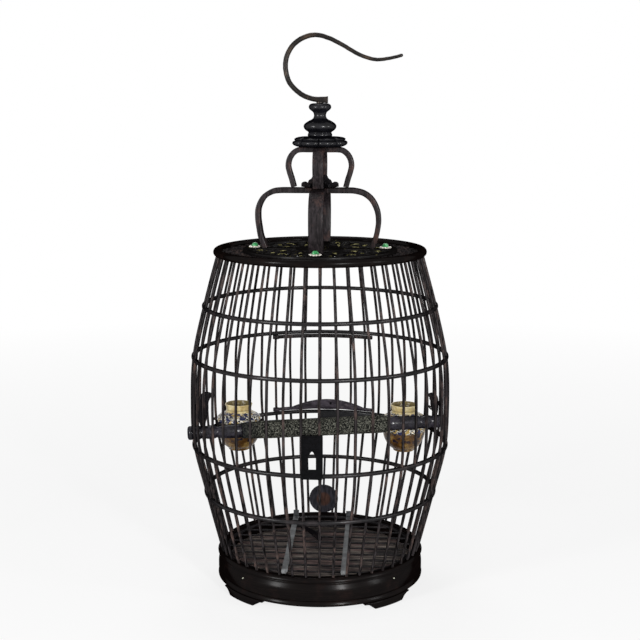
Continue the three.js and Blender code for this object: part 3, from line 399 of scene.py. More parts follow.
def board():
    """Thin grey-brown boards laid from left to right, with grain along them."""
    finish = Finish("floor_board", IOR=1.1)
    grain = finish.noise(finish.coordinates(0.05, 1, 1), 620, detail=4.0, roughness=0.65)
    tones = finish.noise(finish.coordinates(0.25, 1, 1), 55, detail=2.0)
    stains = finish.noise(finish.coordinates(), 24, detail=4.0)
    wood = finish.ramp(grain, (0.38, (16, 14, 14)), (0.5, (80, 73, 70)), (0.64, (160, 149, 140)))
    warm = finish.ramp(grain, (0.38, (18, 13, 14)), (0.5, (82, 68, 68)), (0.64, (148, 127, 120)))
    toned = finish.mix(finish.span(tones, 0.46, 0.56), wood, warm)
    return finish.done(finish.mix(finish.span(stains, 0.5, 0.66, 0.0, 0.7), toned, linear((32, 31, 33))),
                       finish.span(grain, 0.3, 0.7, 0.5, 0.75), (grain, 0.12))


def fretwork():
    """Black lacquered carving whose upper faces carry worn olive gilding."""
    finish = Finish("gilt_fretwork", IOR=1.22)
    wear = finish.noise(finish.coordinates(), 130, detail=5.0, roughness=0.65)
    facing_up = finish.split(finish.node("NewGeometry").outputs["Normal"])[2]
    gilt = finish.math("MULTIPLY", finish.span(wear, 0.64, 0.68), finish.span(facing_up, 0.55, 0.85))
    finish.polish()
    return finish.done(finish.mix(gilt, linear((19, 17, 17)), linear((118, 110, 70))),
                       finish.span(wear, 0.3, 0.7, 0.2, 0.36), (wear, 0.12))


def gilding():
    """Dull olive gold, rubbed down to the black lacquer in places."""
    finish = Finish("olive_gilding", IOR=1.2)
    wear = finish.noise(finish.coordinates(), 230, detail=5.0, roughness=0.65)
    finish.polish()
    tone = finish.ramp(wear, (0.34, (16, 15, 12)), (0.44, (104, 98, 60)), (0.58, (172, 166, 118)))
    return finish.done(tone, finish.span(wear, 0.3, 0.7, 0.5, 0.34), (wear, 0.1))


def disc_wood():
    """The back disc: a lighter turned ring round a warm brown middle."""
    finish = Finish("disc_wood", IOR=1.12)
    place = finish.node("TexCoord").outputs["Object"]
    centre = tuple(middle_of_disc() * MM)
    away = finish.node("VectorMath", {0: place, 1: centre}, operation="DISTANCE").outputs["Value"]
    grain = finish.noise(finish.coordinates(1, 1, 0.2), 500)
    warm = finish.ramp(grain, (0.3, (42, 30, 27)), (0.7, (78, 56, 48)))
    ring = finish.ramp(grain, (0.3, (26, 26, 29)), (0.7, (56, 55, 61)))
    finish.polish()
    return finish.done(finish.mix(finish.span(away, 0.0085, 0.011), warm, ring),
                       finish.span(grain, 0.3, 0.7, 0.4, 0.55), (grain, 0.06))


def mottled(name, scale, detail, relief, *stops, **values):
    """An even gloss over one soft mottling of colour."""
    finish = Finish(name, **values)
    clouds = finish.noise(finish.coordinates(), scale, detail=detail)
    return finish.done(finish.ramp(clouds, *stops), None, (clouds, relief))


FINISHES = {}


def make_materials():
    for key, slot, *values in LACQUERS:
        FINISHES[key] = (slot, lacquered(*values))
    jade = mottled("green_jade", 260, 4.0, 0.05, (0.3, (14, 84, 40)), (0.52, (48, 144, 80)),
                   (0.75, (118, 190, 136)), Roughness=0.22, IOR=1.35)
    setting = mottled("white_setting", 420, 4.0, 0.08, (0.32, (176, 170, 156)), (0.6, (236, 232, 222)),
                      Roughness=0.32)
    pin = mottled("pin_metal", 900, 2.0, 0.03, (0.3, (190, 192, 170)), (0.7, (232, 232, 214)),
                  Metallic=0.8, Roughness=0.28)
    FINISHES.update(
        gloss=(BLACK, black_gloss()), bronze=("forged_bronze", bronze()),
        grey_metal=("grey_metal", grey_metal()), grit=("grit", grit()),
        glaze_left=("glazed_cup", glaze("cup_left")),
        glaze_right=("glazed_cup", glaze("cup_right")), setting=("white_setting", setting),
        jade=("green_jade", jade), board=("tray_wood", board()), fretwork=(BLACK, fretwork()),
        gilding=(BLACK, gilding()), disc=(WOOD, disc_wood()), pin=("grey_metal", pin))


# Mesh helpers: a shape gathers points in millimetres and faces, then becomes one piece


class Shape:
    """Points in millimetres and faces, gathered part by part and then made into one piece."""

    def __init__(self, *part):
        self.points = []
        self.faces = []
        if part:
            self.add(*part)

    def add(self, points, faces, place=None):
        """Adds a part; where its place mirrors it, its faces are turned over."""
        start = len(self.points)
        order = -1 if place and place.determinant() < 0 else 1
        self.points += [place @ Vector(point) if place else Vector(point) for point in points]
        self.faces += [[start + index for index in face[::order]] for face in faces]
        return self

    def piece(self, name, finish, *nodes, body="cage", slot=None, sharp=38):
        """Makes the piece that rides a body and stands in for the named CAD nodes."""
        usual_slot, material = FINISHES[finish]
        mesh = bpy.data.meshes.new(name)
        mesh.from_pydata([tuple(point * MM) for point in self.points], [], self.faces)
        mesh.update()
        mesh.shade_smooth()
        mesh.set_sharp_from_angle(angle=math.radians(sharp))
        mesh.materials.append(material)
        made = bpy.data.objects.new(name, mesh)
        bpy.context.collection.objects.link(made)
        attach(made, body)
        if nodes:
            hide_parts(*nodes)


def lathe(profile, segments, closed=False):
    """Turned about Z from (radius, height) points, from the bottom up the outside."""
    points = []
    faces = []
    rows = []
    for radius, z in profile:
        if radius < 1e-6:
            rows.append([len(points)] * segments)
            points.append((0, 0, z))
        else:
            rows.append(list(range(len(points), len(points) + segments)))
            for i in range(segments):
                angle = 2 * math.pi * i / segments
                points.append((radius * math.cos(angle), radius * math.sin(angle), z))
    pairs = list(zip(rows, rows[1:] + rows[:1])) if closed else list(zip(rows, rows[1:]))
    for below, above in pairs:
        for i in range(segments):
            j = (i + 1) % segments
            corners = []
            for index in (below[i], below[j], above[j], above[i]):
                if index not in corners:
                    corners.append(index)
            if len(corners) > 2:
                faces.append(corners)
    return points, faces


def hoop(radius, z, outline, segments):
    """A ring round the Z axis with one outline as its section."""
    return lathe([(radius + u, z + v) for u, v in outline], segments, closed=True)


def sweep(stations):
    """Skin over a row of rings of points, with a cap at both ends."""
    points = [point for ring in stations for point in ring]
    count = len(stations[0])
    faces = []
    for start in range(0, len(points) - count, count):
        for j in range(count):
            k = (j + 1) % count
            faces.append([start + j, start + k, start + count + k, start + count + j])
    faces.append(list(range(count))[::-1])
    faces.append(list(range(len(points) - count, len(points))))
    return points, faces


def tangents(path):
    """Each point of a path, with the path's direction there and the share of the way to it."""
    last = len(path) - 1
    return [(point, (path[min(i + 1, last)] - path[max(i - 1, 0)]).normalized(), i / last)
            for i, point in enumerate(path)]


def rod(path, section, side):
    """A section swept along a path that lies in a plane; side is square to that plane."""
    side = Vector(side).normalized()
    stations = []
    for point, along, share in tangents(path):
        across = side.cross(along)
        stations.append([point + side * u + across * v for u, v in section(share)])
    return sweep(stations)


def circle(radius, sides):
    angles = [2 * math.pi * (i + 0.5) / sides for i in range(sides)]
    return [(radius * math.cos(a), radius * math.sin(a)) for a in angles]


def soft_rectangle(width, height, corner, steps=4):
    """Rectangle with round corners, as a list of points round its middle."""
    outline = []
    for turn, (sx, sy) in enumerate([(1, 1), (-1, 1), (-1, -1), (1, -1)]):
        cx = sx * (width / 2 - corner)
        cy = sy * (height / 2 - corner)
        for i in range(steps + 1):
            angle = math.pi / 2 * (turn + i / steps)
            outline.append((cx + corner * math.cos(angle), cy + corner * math.sin(angle)))
    return outline


def spline(points, per_span=8, closed=False):
    """Smooth curve through points of any dimension."""
    points = [Vector(point) for point in points]
    count = len(points)
    result = []
    for i in range(count if closed else count - 1):
        if closed:
            p0, p1, p2, p3 = (points[(i + k) % count] for k in (-1, 0, 1, 2))
        else:
            p0, p1, p2, p3 = (points[min(max(i + k, 0), count - 1)] for k in (-1, 0, 1, 2))
        for step in range(per_span):
            t = step / per_span
            result.append(0.5 * ((2 * p1) + (p2 - p0) * t + (2 * p0 - 5 * p1 + 4 * p2 - p3) * t * t
                                 + (3 * p1 - p0 - 3 * p2 + p3) * t ** 3))
    if not closed:
        result.append(points[-1])
    return result


def plate(outlines, thickness, bevel):
    """A flat plate in the XY plane with round edges, from an outline and the holes in it."""
    data = bpy.data.curves.new("plate_outline", "CURVE")
    data.dimensions = "2D"
    data.fill_mode = "BOTH"
    data.extrude = thickness / 2 - bevel
    data.bevel_depth = bevel
    data.bevel_resolution = 2
    data.offset = -bevel
    for outline in outlines:
        line = data.splines.new("POLY")
        line.points.add(len(outline) - 1)
        for target, point in zip(line.points, outline):
            target.co = (point[0], point[1], 0, 1)
        line.use_cyclic_u = True
    holder = bpy.data.objects.new("plate_outline", data)
    bpy.context.collection.objects.link(holder)
    bpy.context.view_layer.update()
    mesh = bpy.data.meshes.new_from_object(holder.evaluated_get(bpy.context.evaluated_depsgraph_get()))
    points = [vertex.co.copy() for vertex in mesh.vertices]
    faces = [list(polygon.vertices) for polygon in mesh.polygons]
    bpy.data.objects.remove(holder)
    bpy.data.meshes.remove(mesh)
    bpy.data.curves.remove(data)
    return points, faces


def spread(start, end, count):
    return [start + (end - start) * i / count for i in range(count + 1)]


def quarter_round(radius, z, wide, tall, count):
    """A quarter of an ellipse in a turned profile, from its outermost point up to its top."""
    angles = [math.radians(90 * i / count) for i in range(count + 1)]
    return [(radius + wide * math.cos(a), z + tall * math.sin(a)) for a in angles]


# Wall: bars, hoops and rim


def bar_points(azimuth, z0, z1, rng):
    """Middle line of a hand-shaved bar: it keeps to its holes and wanders a little between them."""
    drift = [(rng.uniform(-0.45, 0.45), rng.uniform(-0.3, 0.3)) for _ in WALL]
    path = []
    side = Vector((math.cos(math.radians(azimuth)), math.sin(math.radians(azimuth)), 0))
    for z in spread(z0, z1, max(6, round((z1 - z0) / 9))):
        index = wall_index(z)
        below, above = WALL[index][0], WALL[index + 1][0]
        swell = math.sin(math.pi * min(1, max(0, (z - below) / (above - below))))
        aside, out = drift[index]
        path.append(polar(azimuth, wall_radius(z) + out * swell, z) + side * aside * swell)
    return path, side


def add_bars(shape, azimuths, z0, z1, seed):
    rng = random.Random(seed)
    for azimuth in azimuths:
        path, side = bar_points(azimuth, z0, z1, rng)
        width = rng.uniform(0.94, 1.06)
        phase = rng.uniform(0, 6)

        def section(t, width=width, phase=phase):
            return circle(BAR_D / 2 * width * (1 + 0.035 * math.sin(9 * t + phase)), 10)

        shape.add(*rod(path, section, side))
    return shape


def bar_azimuths(start, end):
    return [(i + 0.5) * STEP for i in range(-BAR_COUNT, 2 * BAR_COUNT) if start < (i + 0.5) * STEP < end]


def make_bars():
    left, right = DOOR_AZIMUTH + DOOR_POST, DOOR_AZIMUTH - DOOR_POST
    half = STEP / 2
    full = (BAR_FOOT_Z, RIM_Z - 2)
    sets = [
        ("bars_right_front", 30, 90, full), ("bars_right_back", 90, right - half, full),
        ("door_post_right", right - half, right + half, full),
        ("bars_back_lower", right + half, left - half, (BAR_FOOT_Z, SILL_Z)),
        ("door_post_left", left - half, left + half, full), ("bars_left_back", left + half, 270, full),
        ("bars_left_front", 270, 330, full), ("bars_front", 330, 390, full),
        ("bars_back_upper", right + half, left - half, (HEAD_Z, RIM_Z - 2)),
    ]
    for seed, (name, start, end, ends) in enumerate(sets):
        add_bars(Shape(), bar_azimuths(start, end), *ends, seed).piece("splints_" + name, "bars", name)


def make_hoops():
    for name in HOOPS:
        outline = soft_rectangle(HOOP_W, (high(name) - low(name)).z, 2.0, 4)
        Shape(*hoop(outer_radius(name) - HOOP_W / 2, middle(name).z, outline, RING_SIDES)).piece(
            "bent_" + name, "hoops", name)
    Shape(*hoop(RIM_R, RIM_Z, circle(RIM_HALF, 24), RING_SIDES)).piece("round_rim", "base", "top_rim")


# Base ring, feet and floor
ROD_PITCH = 21.7
# Azimuth and height of the four pins in the base
PINS = [(-42.5, 31.4), (48, 32.9), (133, 32), (227, 32)]


def make_base():
    """Ring with a bead at its foot, a plain band that slopes in above, and a rolled lip."""
    inner = BASE_INNER_R
    band = BASE_R - 0.5
    tray_seat, grille_seat = low("tray_board").z - 0.3, low("floor_grille").z - 0.3
    bead = [(3.2, 0), (1.2, 0.2), (0.2, 1.1), (0, 2.2), (0.5, 3.7), (1.2, 5.2), (1.9, 6.3)]
    groove = [(2.2, 6.9), (2.1, 7.6), (0.4, 8.2), (0, 9)]
    slope = [(0, 20), (0.12, 17.6), (0.45, 15.4), (1.0, 13.5), (1.75, 11.5), (2.5, 9.6), (3.1, 8.3),
             (3.7, 7.6),
             (3.9, 7.0), (3.7, 5.6)]
    lip = [(1.0, 5.5), (0.1, 4.9), (0, 4.2), (0.6, 2.8), (1.3, 1.5), (2.4, 0.5), (4, 0), (6, 0.2)]
    profile = [(inner, FOOT_TOP)]
    profile += [(BASE_R - x, FOOT_TOP + z) for x, z in bead]
    profile += [(band - x, FOOT_TOP + z) for x, z in groove]
    profile += [(band - x, RING_TOP - z) for x, z in slope]
    profile += [(BASE_R - x, RING_TOP - z) for x, z in lip]
    profile += [(123.8, RING_TOP - 0.1), (122.8, RING_TOP - 0.9), (122.4, grille_seat), (117.5, grille_seat),
                (117.5, tray_seat), (inner, tray_seat)]
    Shape(*lathe(profile, RING_SIDES, closed=True)).piece("turned_base_ring", "base", "base_ring")
    for index, azimuth in enumerate((45, 135, 225, 315), 1):
        make_foot(index, azimuth)
    pin = lathe([(0, -2), (0.9, -2), (0.9, 0.3), (0.65, 0.75), (0, 0.95)], 14)
    for azimuth, height in PINS:
        place = move(polar(azimuth, BASE_R - 0.7, height)) @ facing(azimuth) @ TURN_Y
        Shape(*pin, place).piece(f"base_pin_{azimuth % 360}", "pin")


def make_foot(index, azimuth):
    """Bracket foot whose underside is flat in the middle and sweeps up at both ends."""
    inner, outer, middle_r = BASE_INNER_R + 1.5, BASE_R + 0.4, 124.5
    reach, flat = 35.5, 21.5
    stations = []
    for spot in spread(-reach, reach, 40):
        share = min(1, max(0, (abs(spot) - flat) / (reach - flat)))
        bottom = (FOOT_TOP - 2.2) * (1 - (1 - share) ** 2.4)
        stations.append((azimuth + math.degrees(spot / middle_r), bottom, FOOT_TOP - 0.15))
    Shape(*arc_strip((inner + outer) / 2, outer - inner, stations, 1.4)).piece(
        f"bracket_foot_{index}", "base", f"foot_{index}")


def make_floor():
    make_boards(high("tray_board").x / FACET)
    reach = high("floor_grille").x / FACET
    bottom, top = heights("floor_grille")
    ring_inner = reach - 5.4
    outline = soft_rectangle(5.4, top - bottom, 1.4, 3)
    shape = Shape(*hoop(reach - 2.7, (top + bottom) / 2, outline, 192))
    rng = random.Random(31)
    for i in range(-5, 5):
        y = (i + 0.5) * ROD_PITCH
        half = math.sqrt((ring_inner + 2) ** 2 - y * y)
        path = [Vector((x, y + rng.uniform(-0.25, 0.25), top - 1.4))
                for x in [-half + 2 * half * k / 12 for k in range(13)]]
        shape.add(*rod(path, lambda t: circle(1.3, 10), (0, 1, 0)))
    shape.piece("floor_rods", "hoops", "floor_grille", slot=WOOD)
    for name in ("floor_strap_left", "floor_strap_right"):
        make_strap(name)
    make_catch()


def make_boards(reach):
    """The floor is a row of thin boards with narrow seams, cut round to fit the ring."""
    bottom, top = heights("tray_board")
    width = 20.0
    shape = Shape()
    rows = math.ceil(reach / width)
    for i in range(-rows, rows):
        y0 = max(-reach + 0.6, i * width + 0.15)
        y1 = min(reach - 0.6, (i + 1) * width - 0.15)
        if y1 - y0 < 1:
            continue
        edge = [(math.sqrt(max(0, reach ** 2 - y * y)), y) for y in spread(y0, y1, 10)]
        outline = edge + [(-x, y) for x, y in reversed(edge)]
        points, faces = plate([outline], top - bottom, 0.3)
        shape.add(points, faces, move(0, 0, (top + bottom) / 2))
    shape.piece("floor_boards", "board", "tray_board")


def make_strap(name):
    """Metal strap over the floor rods: screwed down at both ends and turned up at the back."""
    lower, upper = low(name), high(name)
    width, half, thick = 7.5, 112, 1.5
    place = move(middle(name).x, middle(name).y, 0) @ spin(1.1)
    z = lower.z + thick / 2
    path = [Vector((0, y, z)) for y in spread(-half, half - 4, 40)]
    path += [Vector((0, half - 2.2, z + 0.5)), Vector((0, half - 1.0, z + 1.7)),
             Vector((0, half - 0.75, upper.z))]

    def section(t):
        return soft_rectangle(width * min(1, 0.72 + 12 * t), thick, 0.4, 3)

    shape = Shape(*rod(path, section, (1, 0, 0)), place)
    dome = [(0, -0.4), (2.1, -0.4), (2.0, 0.5), (1.4, 1.0), (0, 1.2)]
    for y in (4.5 - half, half - 9):
        shape.add(*lathe(dome, 16), place @ move(0, y, lower.z + thick))
    shape.piece(name + "_plate", "grey_metal", name)


def make_catch():
    """Curved lever on a round pin."""
    pivot = Vector((-27, 61, low("floor_catch").z))
    seat = high("floor_grille").z + 0.3
    line = spline([(0, 0), (6.8, -7.8), (14.6, -19.8), (21.8, -34.3), (25.6, -46.5)], 7)
    left, right = [], []
    for point, along, share in tangents(line):
        width = 5.0 + 2.6 * math.sin(math.pi * share ** 1.5)
        across = Vector((-along.y, along.x)) * width / 2
        left.append(point + across)
        right.append(point - across)
    nose = [line[-1] + Vector((0.6, -1.8))]
    heel = [line[0] + Vector((-1.6, 3.4)), line[0] + Vector((-3.6, 0.8))]
    shape = Shape(*plate([left + nose + right[::-1] + heel], 2.0, 0.5),
                  move(pivot.x, pivot.y, seat + 1.0))
    shape.add(*lathe([(0, pivot.z), (2, pivot.z), (2, seat + 2), (2.6, seat + 2.2), (2.2, seat + 3.0),
                      (0, seat + 3.2)], 20), move(pivot.x, pivot.y, 0))
    shape.piece("catch_lever", "carving", "floor_catch", body="floor_catch")


# Top: spokes, fretwork panel and studs


def make_top():
    inner = 97.0
    outer = RIM_R - RIM_HALF + 1.5
    z = middle("top_grille").z
    shape = Shape()
    rng = random.Random(5)
    for azimuth in bar_azimuths(0, 360):
        wobble = rng.uniform(-0.15, 0.15)
        path = [polar(azimuth, inner - 6 + (outer - inner + 6) * k / 4, z + wobble) for k in range(5)]
        shape.add(*rod(path, lambda t: circle(1.4, 8), (0, 0, 1)))
    lower, upper = heights("top_grille")
    ledge = [(r, lower + 0.2 + h) for r, h in ((89.2, 0), (96.5, 0), (96.5, upper - lower - 0.3),
                                               (89.2, upper - lower - 0.3))]
    shape.add(*lathe(ledge, 144, closed=True))
    shape.piece("top_spokes", "bars", "top_grille")
    make_panel()
    for index, azimuth in enumerate(QUARTERS, 1):
        make_stud(index, azimuth)


def spiral(centre, start_radius, turns, start_angle, direction, count):
    """Points of a scroll that winds inward round a centre."""
    points = []
    for i in range(count + 1):
        share = i / count
        radius = start_radius * (1 - 0.86 * share)
        angle = start_angle + direction * 2 * math.pi * turns * share
        points.append(Vector((centre[0] + radius * math.cos(angle), centre[1] + radius * math.sin(angle), 0)))
    return points


def tapered_strip(path, widths, height, z):
    """Raised strip with a rounded top that follows a flat path."""
    outline = [(-0.5, 0), (-0.5, 0.6), (-0.3, 0.93), (0, 1), (0.3, 0.93), (0.5, 0.6), (0.5, 0)]
    stations = []
    for point, along, share in tangents(path):
        across = Vector((-along.y, along.x, 0))
        stations.append([point + across * (widths(share) * u) + Vector((0, 0, z + height * v))
                         for u, v in outline])
    return sweep(stations)


def leaf(length, width, height):
    """A pointed leaf with a raised middle rib, along +X from its stem."""
    count = 10
    stations = []
    for i in range(count + 1):
        share = i / count
        half = width / 2 * math.sin(math.pi * min(1, 0.06 + 0.93 * share)) ** 0.8
        crown = height * math.sin(math.pi * (0.12 + 0.78 * share))
        x = length * share
        outline = [(-1, 0), (-0.6, 0.75), (0, 1), (0.6, 0.75), (1, 0)]
        stations.append([Vector((x, half * u, crown * v)) for u, v in outline])
    return sweep(stations)


def make_panel():
    """Carved top panel: rings and four bearers hold sprays of scrolls and leaves."""
    bottom, top = heights("top_panel")
    rim = 97.0
    outer_ring = [(88, bottom), (rim, bottom)] + quarter_round(rim - 2, top - 1.2, 2, 1.2, 5)
    outer_ring += [(91.5, top), (90.5, top - 0.7), (89.3, top - 0.7), (88.6, top - 0.2), (88, top - 0.8)]
    shape = Shape(*lathe(outer_ring, 160, closed=True))
    middle_disc = [(31, 1), (30, 0.2), (28.5, 0.2), (27.8, 0.9), (20, 0.9), (19, 0.1), (0, 0.1)]
    shape.add(*lathe([(0, bottom), (31, bottom)] + [(r, top - z) for r, z in middle_disc], 96))
    for azimuth in QUARTERS:
        bearer = [(29, -6.5), (89, -9.5), (89, 9.5), (29, 6.5)]
        shape.add(*plate([bearer], top - bottom - 0.2, 0.5),
                  facing(azimuth) @ move(0, 0, (top + bottom) / 2 - 0.1))
    web = top - bottom - 0.9
    leaves = Shape()
    for azimuth in QUARTERS:
        for side in (1, -1):
            place = facing(azimuth + 45 * side) @ Matrix.Scale(side, 4, (0, 1, 0))
            spray(shape, leaves, place, bottom, web)
    shape.piece("carved_panel", "fretwork", "top_panel", sharp=50)
    leaves.piece("gilt_leaves", "gilding", sharp=50)


def spray(shape, leaves, place, bottom, web):
    """Half of a quarter's carving: scrolls and leaves between a diagonal stem and the next bearer."""
    stem = spline([(30, 0.8, 0), (44, 3.5, 0), (58, 1.5, 0), (72, 4, 0), (89, 1.5, 0)], 6)
    shape.add(*tapered_strip(stem, lambda t: 3.4 - 1.0 * t, web, bottom), place)
    for turn in (14, 28):
        angle = math.radians(turn)
        along = Vector((math.cos(angle), math.sin(angle), 0))
        aside = Vector((-along.y, along.x, 0))
        branch = spline([along * 29, along * 42 + aside * 3, along * 58 - aside * 2.5, along * 74 + aside * 3,
                         along * 90], 5)
        shape.add(*tapered_strip(branch, lambda t: 3.0 - 0.8 * t, web - 0.2, bottom), place)
    for radius, turn, size, turns, start, direction in (
            (46, 9, 6.5, 1.3, -2.2, 1), (44, 27, 6.5, 1.3, 2.0, -1), (58, 17, 7.5, 1.4, 2.6, -1),
            (60, 33, 7.5, 1.4, -1.2, 1), (73, 9, 8.0, 1.4, -2.4, 1), (75, 23, 8.0, 1.5, 1.4, -1),
            (80, 36, 7.0, 1.3, 3.3, 1), (62, 4, 4.5, 1.1, 3.3, 1), (37, 18, 5.0, 1.1, 0.4, 1)):
        centre = (radius * math.cos(math.radians(turn)), radius * math.sin(math.radians(turn)))
        path = spiral(centre, size, turns, start, direction, 18)
        shape.add(*tapered_strip(path, lambda t: 3.0 - 1.3 * t, web, bottom), place)
        tip = path[-1]
        dome = [(0, 0), (1.9, 0), (1.8, web * 0.8), (1.0, web + 0.25), (0, web + 0.4)]
        shape.add(*lathe(dome, 12), place @ move(tip.x, tip.y, bottom))
    for radius, turn, lean, length, width in ((42, 14, 50, 15, 8), (63, 11, -25, 17, 8.5),
                                              (67, 31, 35, 17, 8.5)):
        x, y = radius * math.cos(math.radians(turn)), radius * math.sin(math.radians(turn))
        leaves.add(*leaf(length, width, web + 0.35), place @ (move(x, y, bottom) @ spin(lean)))


def make_stud(index, azimuth):
    """A scalloped white flower that holds a round green stone."""
    lower = low(f"stud_setting_{index}").z
    place = facing(azimuth) @ move(82, 0, lower)
    shape = Shape(*lathe([(0, 0.1), (5.6, 0.1), (5.9, 1.0), (4.6, 1.9), (0, 2.0)], 40), place)
    for i in range(10):
        turn = Matrix.Rotation(2 * math.pi * (i + 0.5) / 10, 4, "Z")
        petal = [(0, 0.0), (1.3, 0.25), (1.75, 0.9), (1.55, 1.6), (0.8, 2.1), (0, 2.2)]
        shape.add(*lathe(petal, 14), place @ turn @ move(6.1, 0, 0))
    shape.piece(f"flower_setting_{index}", "setting", f"stud_setting_{index}")
    height = high(f"stud_jade_{index}").z - lower
    radius = 4.25
    dome = [(0, 1.6), (radius - 0.3, 1.6)] + quarter_round(0, 2.1, radius, height - 2.1, 10)
    Shape(*lathe(dome, 40), place).piece(f"jade_{index}", "jade", f"stud_jade_{index}")


# Crown, finial and hook
COLLAR_R = 35.2


def make_arms():
    lower_line = [(0.127, 0.05), (0.3, 0.05), (0.48, 0.05), (0.64, 0.052), (0.77, 0.075), (0.905, 0.165),
                  (0.988, 0.33), (1.0, 0.5), (0.98, 0.67), (0.955, 0.81), (0.9, 0.96), (0.885, 1.0)]
    round_line = [(0.127, 0.05), (0.3, 0.05), (0.46, 0.05), (0.6, 0.056), (0.76, 0.1), (0.89, 0.205),
                  (0.975, 0.37), (1.0, 0.54), (0.985, 0.69), (0.955, 0.82), (0.9, 0.96), (0.885, 1.0)]
    upper_line = [(0.178, 0.07), (0.4, 0.07), (0.56, 0.07), (0.72, 0.09), (0.87, 0.18), (0.965, 0.31),
                  (1.0, 0.46), (0.975, 0.58), (0.935, 0.69), (0.89, 0.8), (0.84, 0.95), (0.82, 1.0)]
    thick = 7.2
    for tier, drawn in (("lower", lower_line), ("upper", upper_line)):
        wide = high(tier + "_arm_1").x - low(tier + "_arm_1").x
        for index, azimuth in enumerate(QUARTERS, 1):
            node = f"{tier}_arm_{index}"
            line = round_line if node == "lower_arm_2" else drawn
            bottom, top = heights(node)
            radius = max(-low(node).y, high(node).x, high(node).y, -low(node).x) - thick / 2
            path = spline([(radius * share, 0, top - (top - bottom) * drop) for share, drop in line], 6)
            shape = Shape(*arm_body(path, thick, wide, bottom, top), facing(azimuth))
            shape.piece("bent_" + node, "arms", node, sharp=42)


def arm_body(path, thick, wide, bottom, top):
    """A bent arm whose outer face is slightly crowned between two soft edges."""
    side = Vector((0, 1, 0))
    stations = []
    for point, along, _ in tangents(path):
        across = side.cross(along)
        ring = []
        for u, v in soft_rectangle(wide, thick, 1.3, 4):
            crown = 0.45 * (1 - (2 * u / wide) ** 2)
            spot = point + side * u + across * (v + math.copysign(crown, v) - math.copysign(0.45, v))
            spot.z = min(max(spot.z, bottom), top)
            ring.append(spot)
        stations.append(ring)
    return sweep(stations)


def make_hub():
    """Carved scroll brackets round a small turned centre, where the two tiers meet."""
    seat = low("upper_arm_1").z
    bottom, top = heights("crown_hub")
    pin = [(0, bottom), (7.5, bottom), (8.6, bottom + 1), (8.8, bottom + 3), (8.8, seat), (11, seat + 0.2),
           (10.6, seat + 2), (8, seat + 3.5), (6.4, seat + 6), (6.6, seat + 8.5), (5, top - 1.6),
           (2, top - 0.4), (0, top)]
    shape = Shape(*lathe(pin, 48))
    height = top - seat
    for azimuth in range(0, 360, 45):
        small = azimuth % 90 != 0
        size = 0.8 if small else 1.0
        outline = spline([(4, 0.2), (21.5, 0.2), (23.2, 2.2), (22.6, 5.2), (19.4, 6.6), (16.8, 5.2),
                          (15.4, 5.4), (13.8, 8.4), (10.8, 10.6), (8.6, 14.0), (4.2, 14.8)], 5, closed=True)
        outline = [(x * size, min(z * size, height)) for x, z in outline]
        place = facing(azimuth) @ move(0, 0, seat) @ TURN_X
        shape.add(*plate([outline], 5.5 * size, 1.0), place)
        for side in (1, -1):
            curl = spiral((18.9 * size, 3.4 * size), 3.0 * size, 1.3, math.pi * 0.9, -1, 16)
            strip = tapered_strip(curl, lambda t: 1.3 - 0.5 * t, 0.55, 2.3 * size)
            shape.add(*strip, place @ Matrix.Scale(side, 4, (0, 0, 1)))
    shape.piece("carved_hub", "carving", "crown_hub", sharp=45)


def make_collar():
    """Lotus-shaped disc: eight cushioned lobes with sharp notches between them."""
    bottom, top = heights("collar")
    height = top - bottom
    radius = COLLAR_R
    count = 192
    levels = [(0.0, 0.80), (0.06, 0.88), (0.18, 0.965), (0.34, 1.0), (0.5, 0.985), (0.58, 0.94), (0.62, 0.9),
              (0.68, 0.92), (0.78, 0.93), (0.88, 0.88), (0.95, 0.8), (1.0, 0.66)]
    stations = []
    for share, grow in levels:
        ring = []
        for i in range(count):
            azimuth = 360 * i / count
            lobe = abs(math.sin(math.radians(azimuth * 4))) ** 0.45
            notch = 0.12 * (1 - lobe)
            ring.append(polar(azimuth, radius * (grow - notch), bottom + share * height))
        stations.append(ring)
    shape = Shape(*sweep(stations))
    shape.piece("lotus_collar", "gloss", "collar", slot=WOOD, sharp=50)


def make_finial():
    bottom, top = heights("finial")
    h = top - bottom
    r = high("finial").x
    line = [(0.72, 0.0), (0.75, 0.03), (0.74, 0.07), (0.7, 0.11), (0.75, 0.145), (0.88, 0.19), (0.975, 0.25),
            (1.0, 0.31), (0.96, 0.365), (0.84, 0.42), (0.66, 0.475), (0.48, 0.52), (0.395, 0.57),
            (0.365, 0.63), (0.385, 0.69), (0.45, 0.745), (0.57, 0.79), (0.66, 0.84), (0.685, 0.89),
            (0.65, 0.945), (0.55, 0.985), (0.4, 1.0)]
    profile = [(p.x * r, bottom + p.y * h) for p in spline(line, 4)]
    pin_r = 3.1
    profile += [(pin_r, top), (pin_r, top - 14.2), (0, top - 14.2)]
    shape = Shape(*lathe([(0, bottom)] + profile, 72))
    shape.piece("turned_finial", "gloss", "finial", sharp=50)


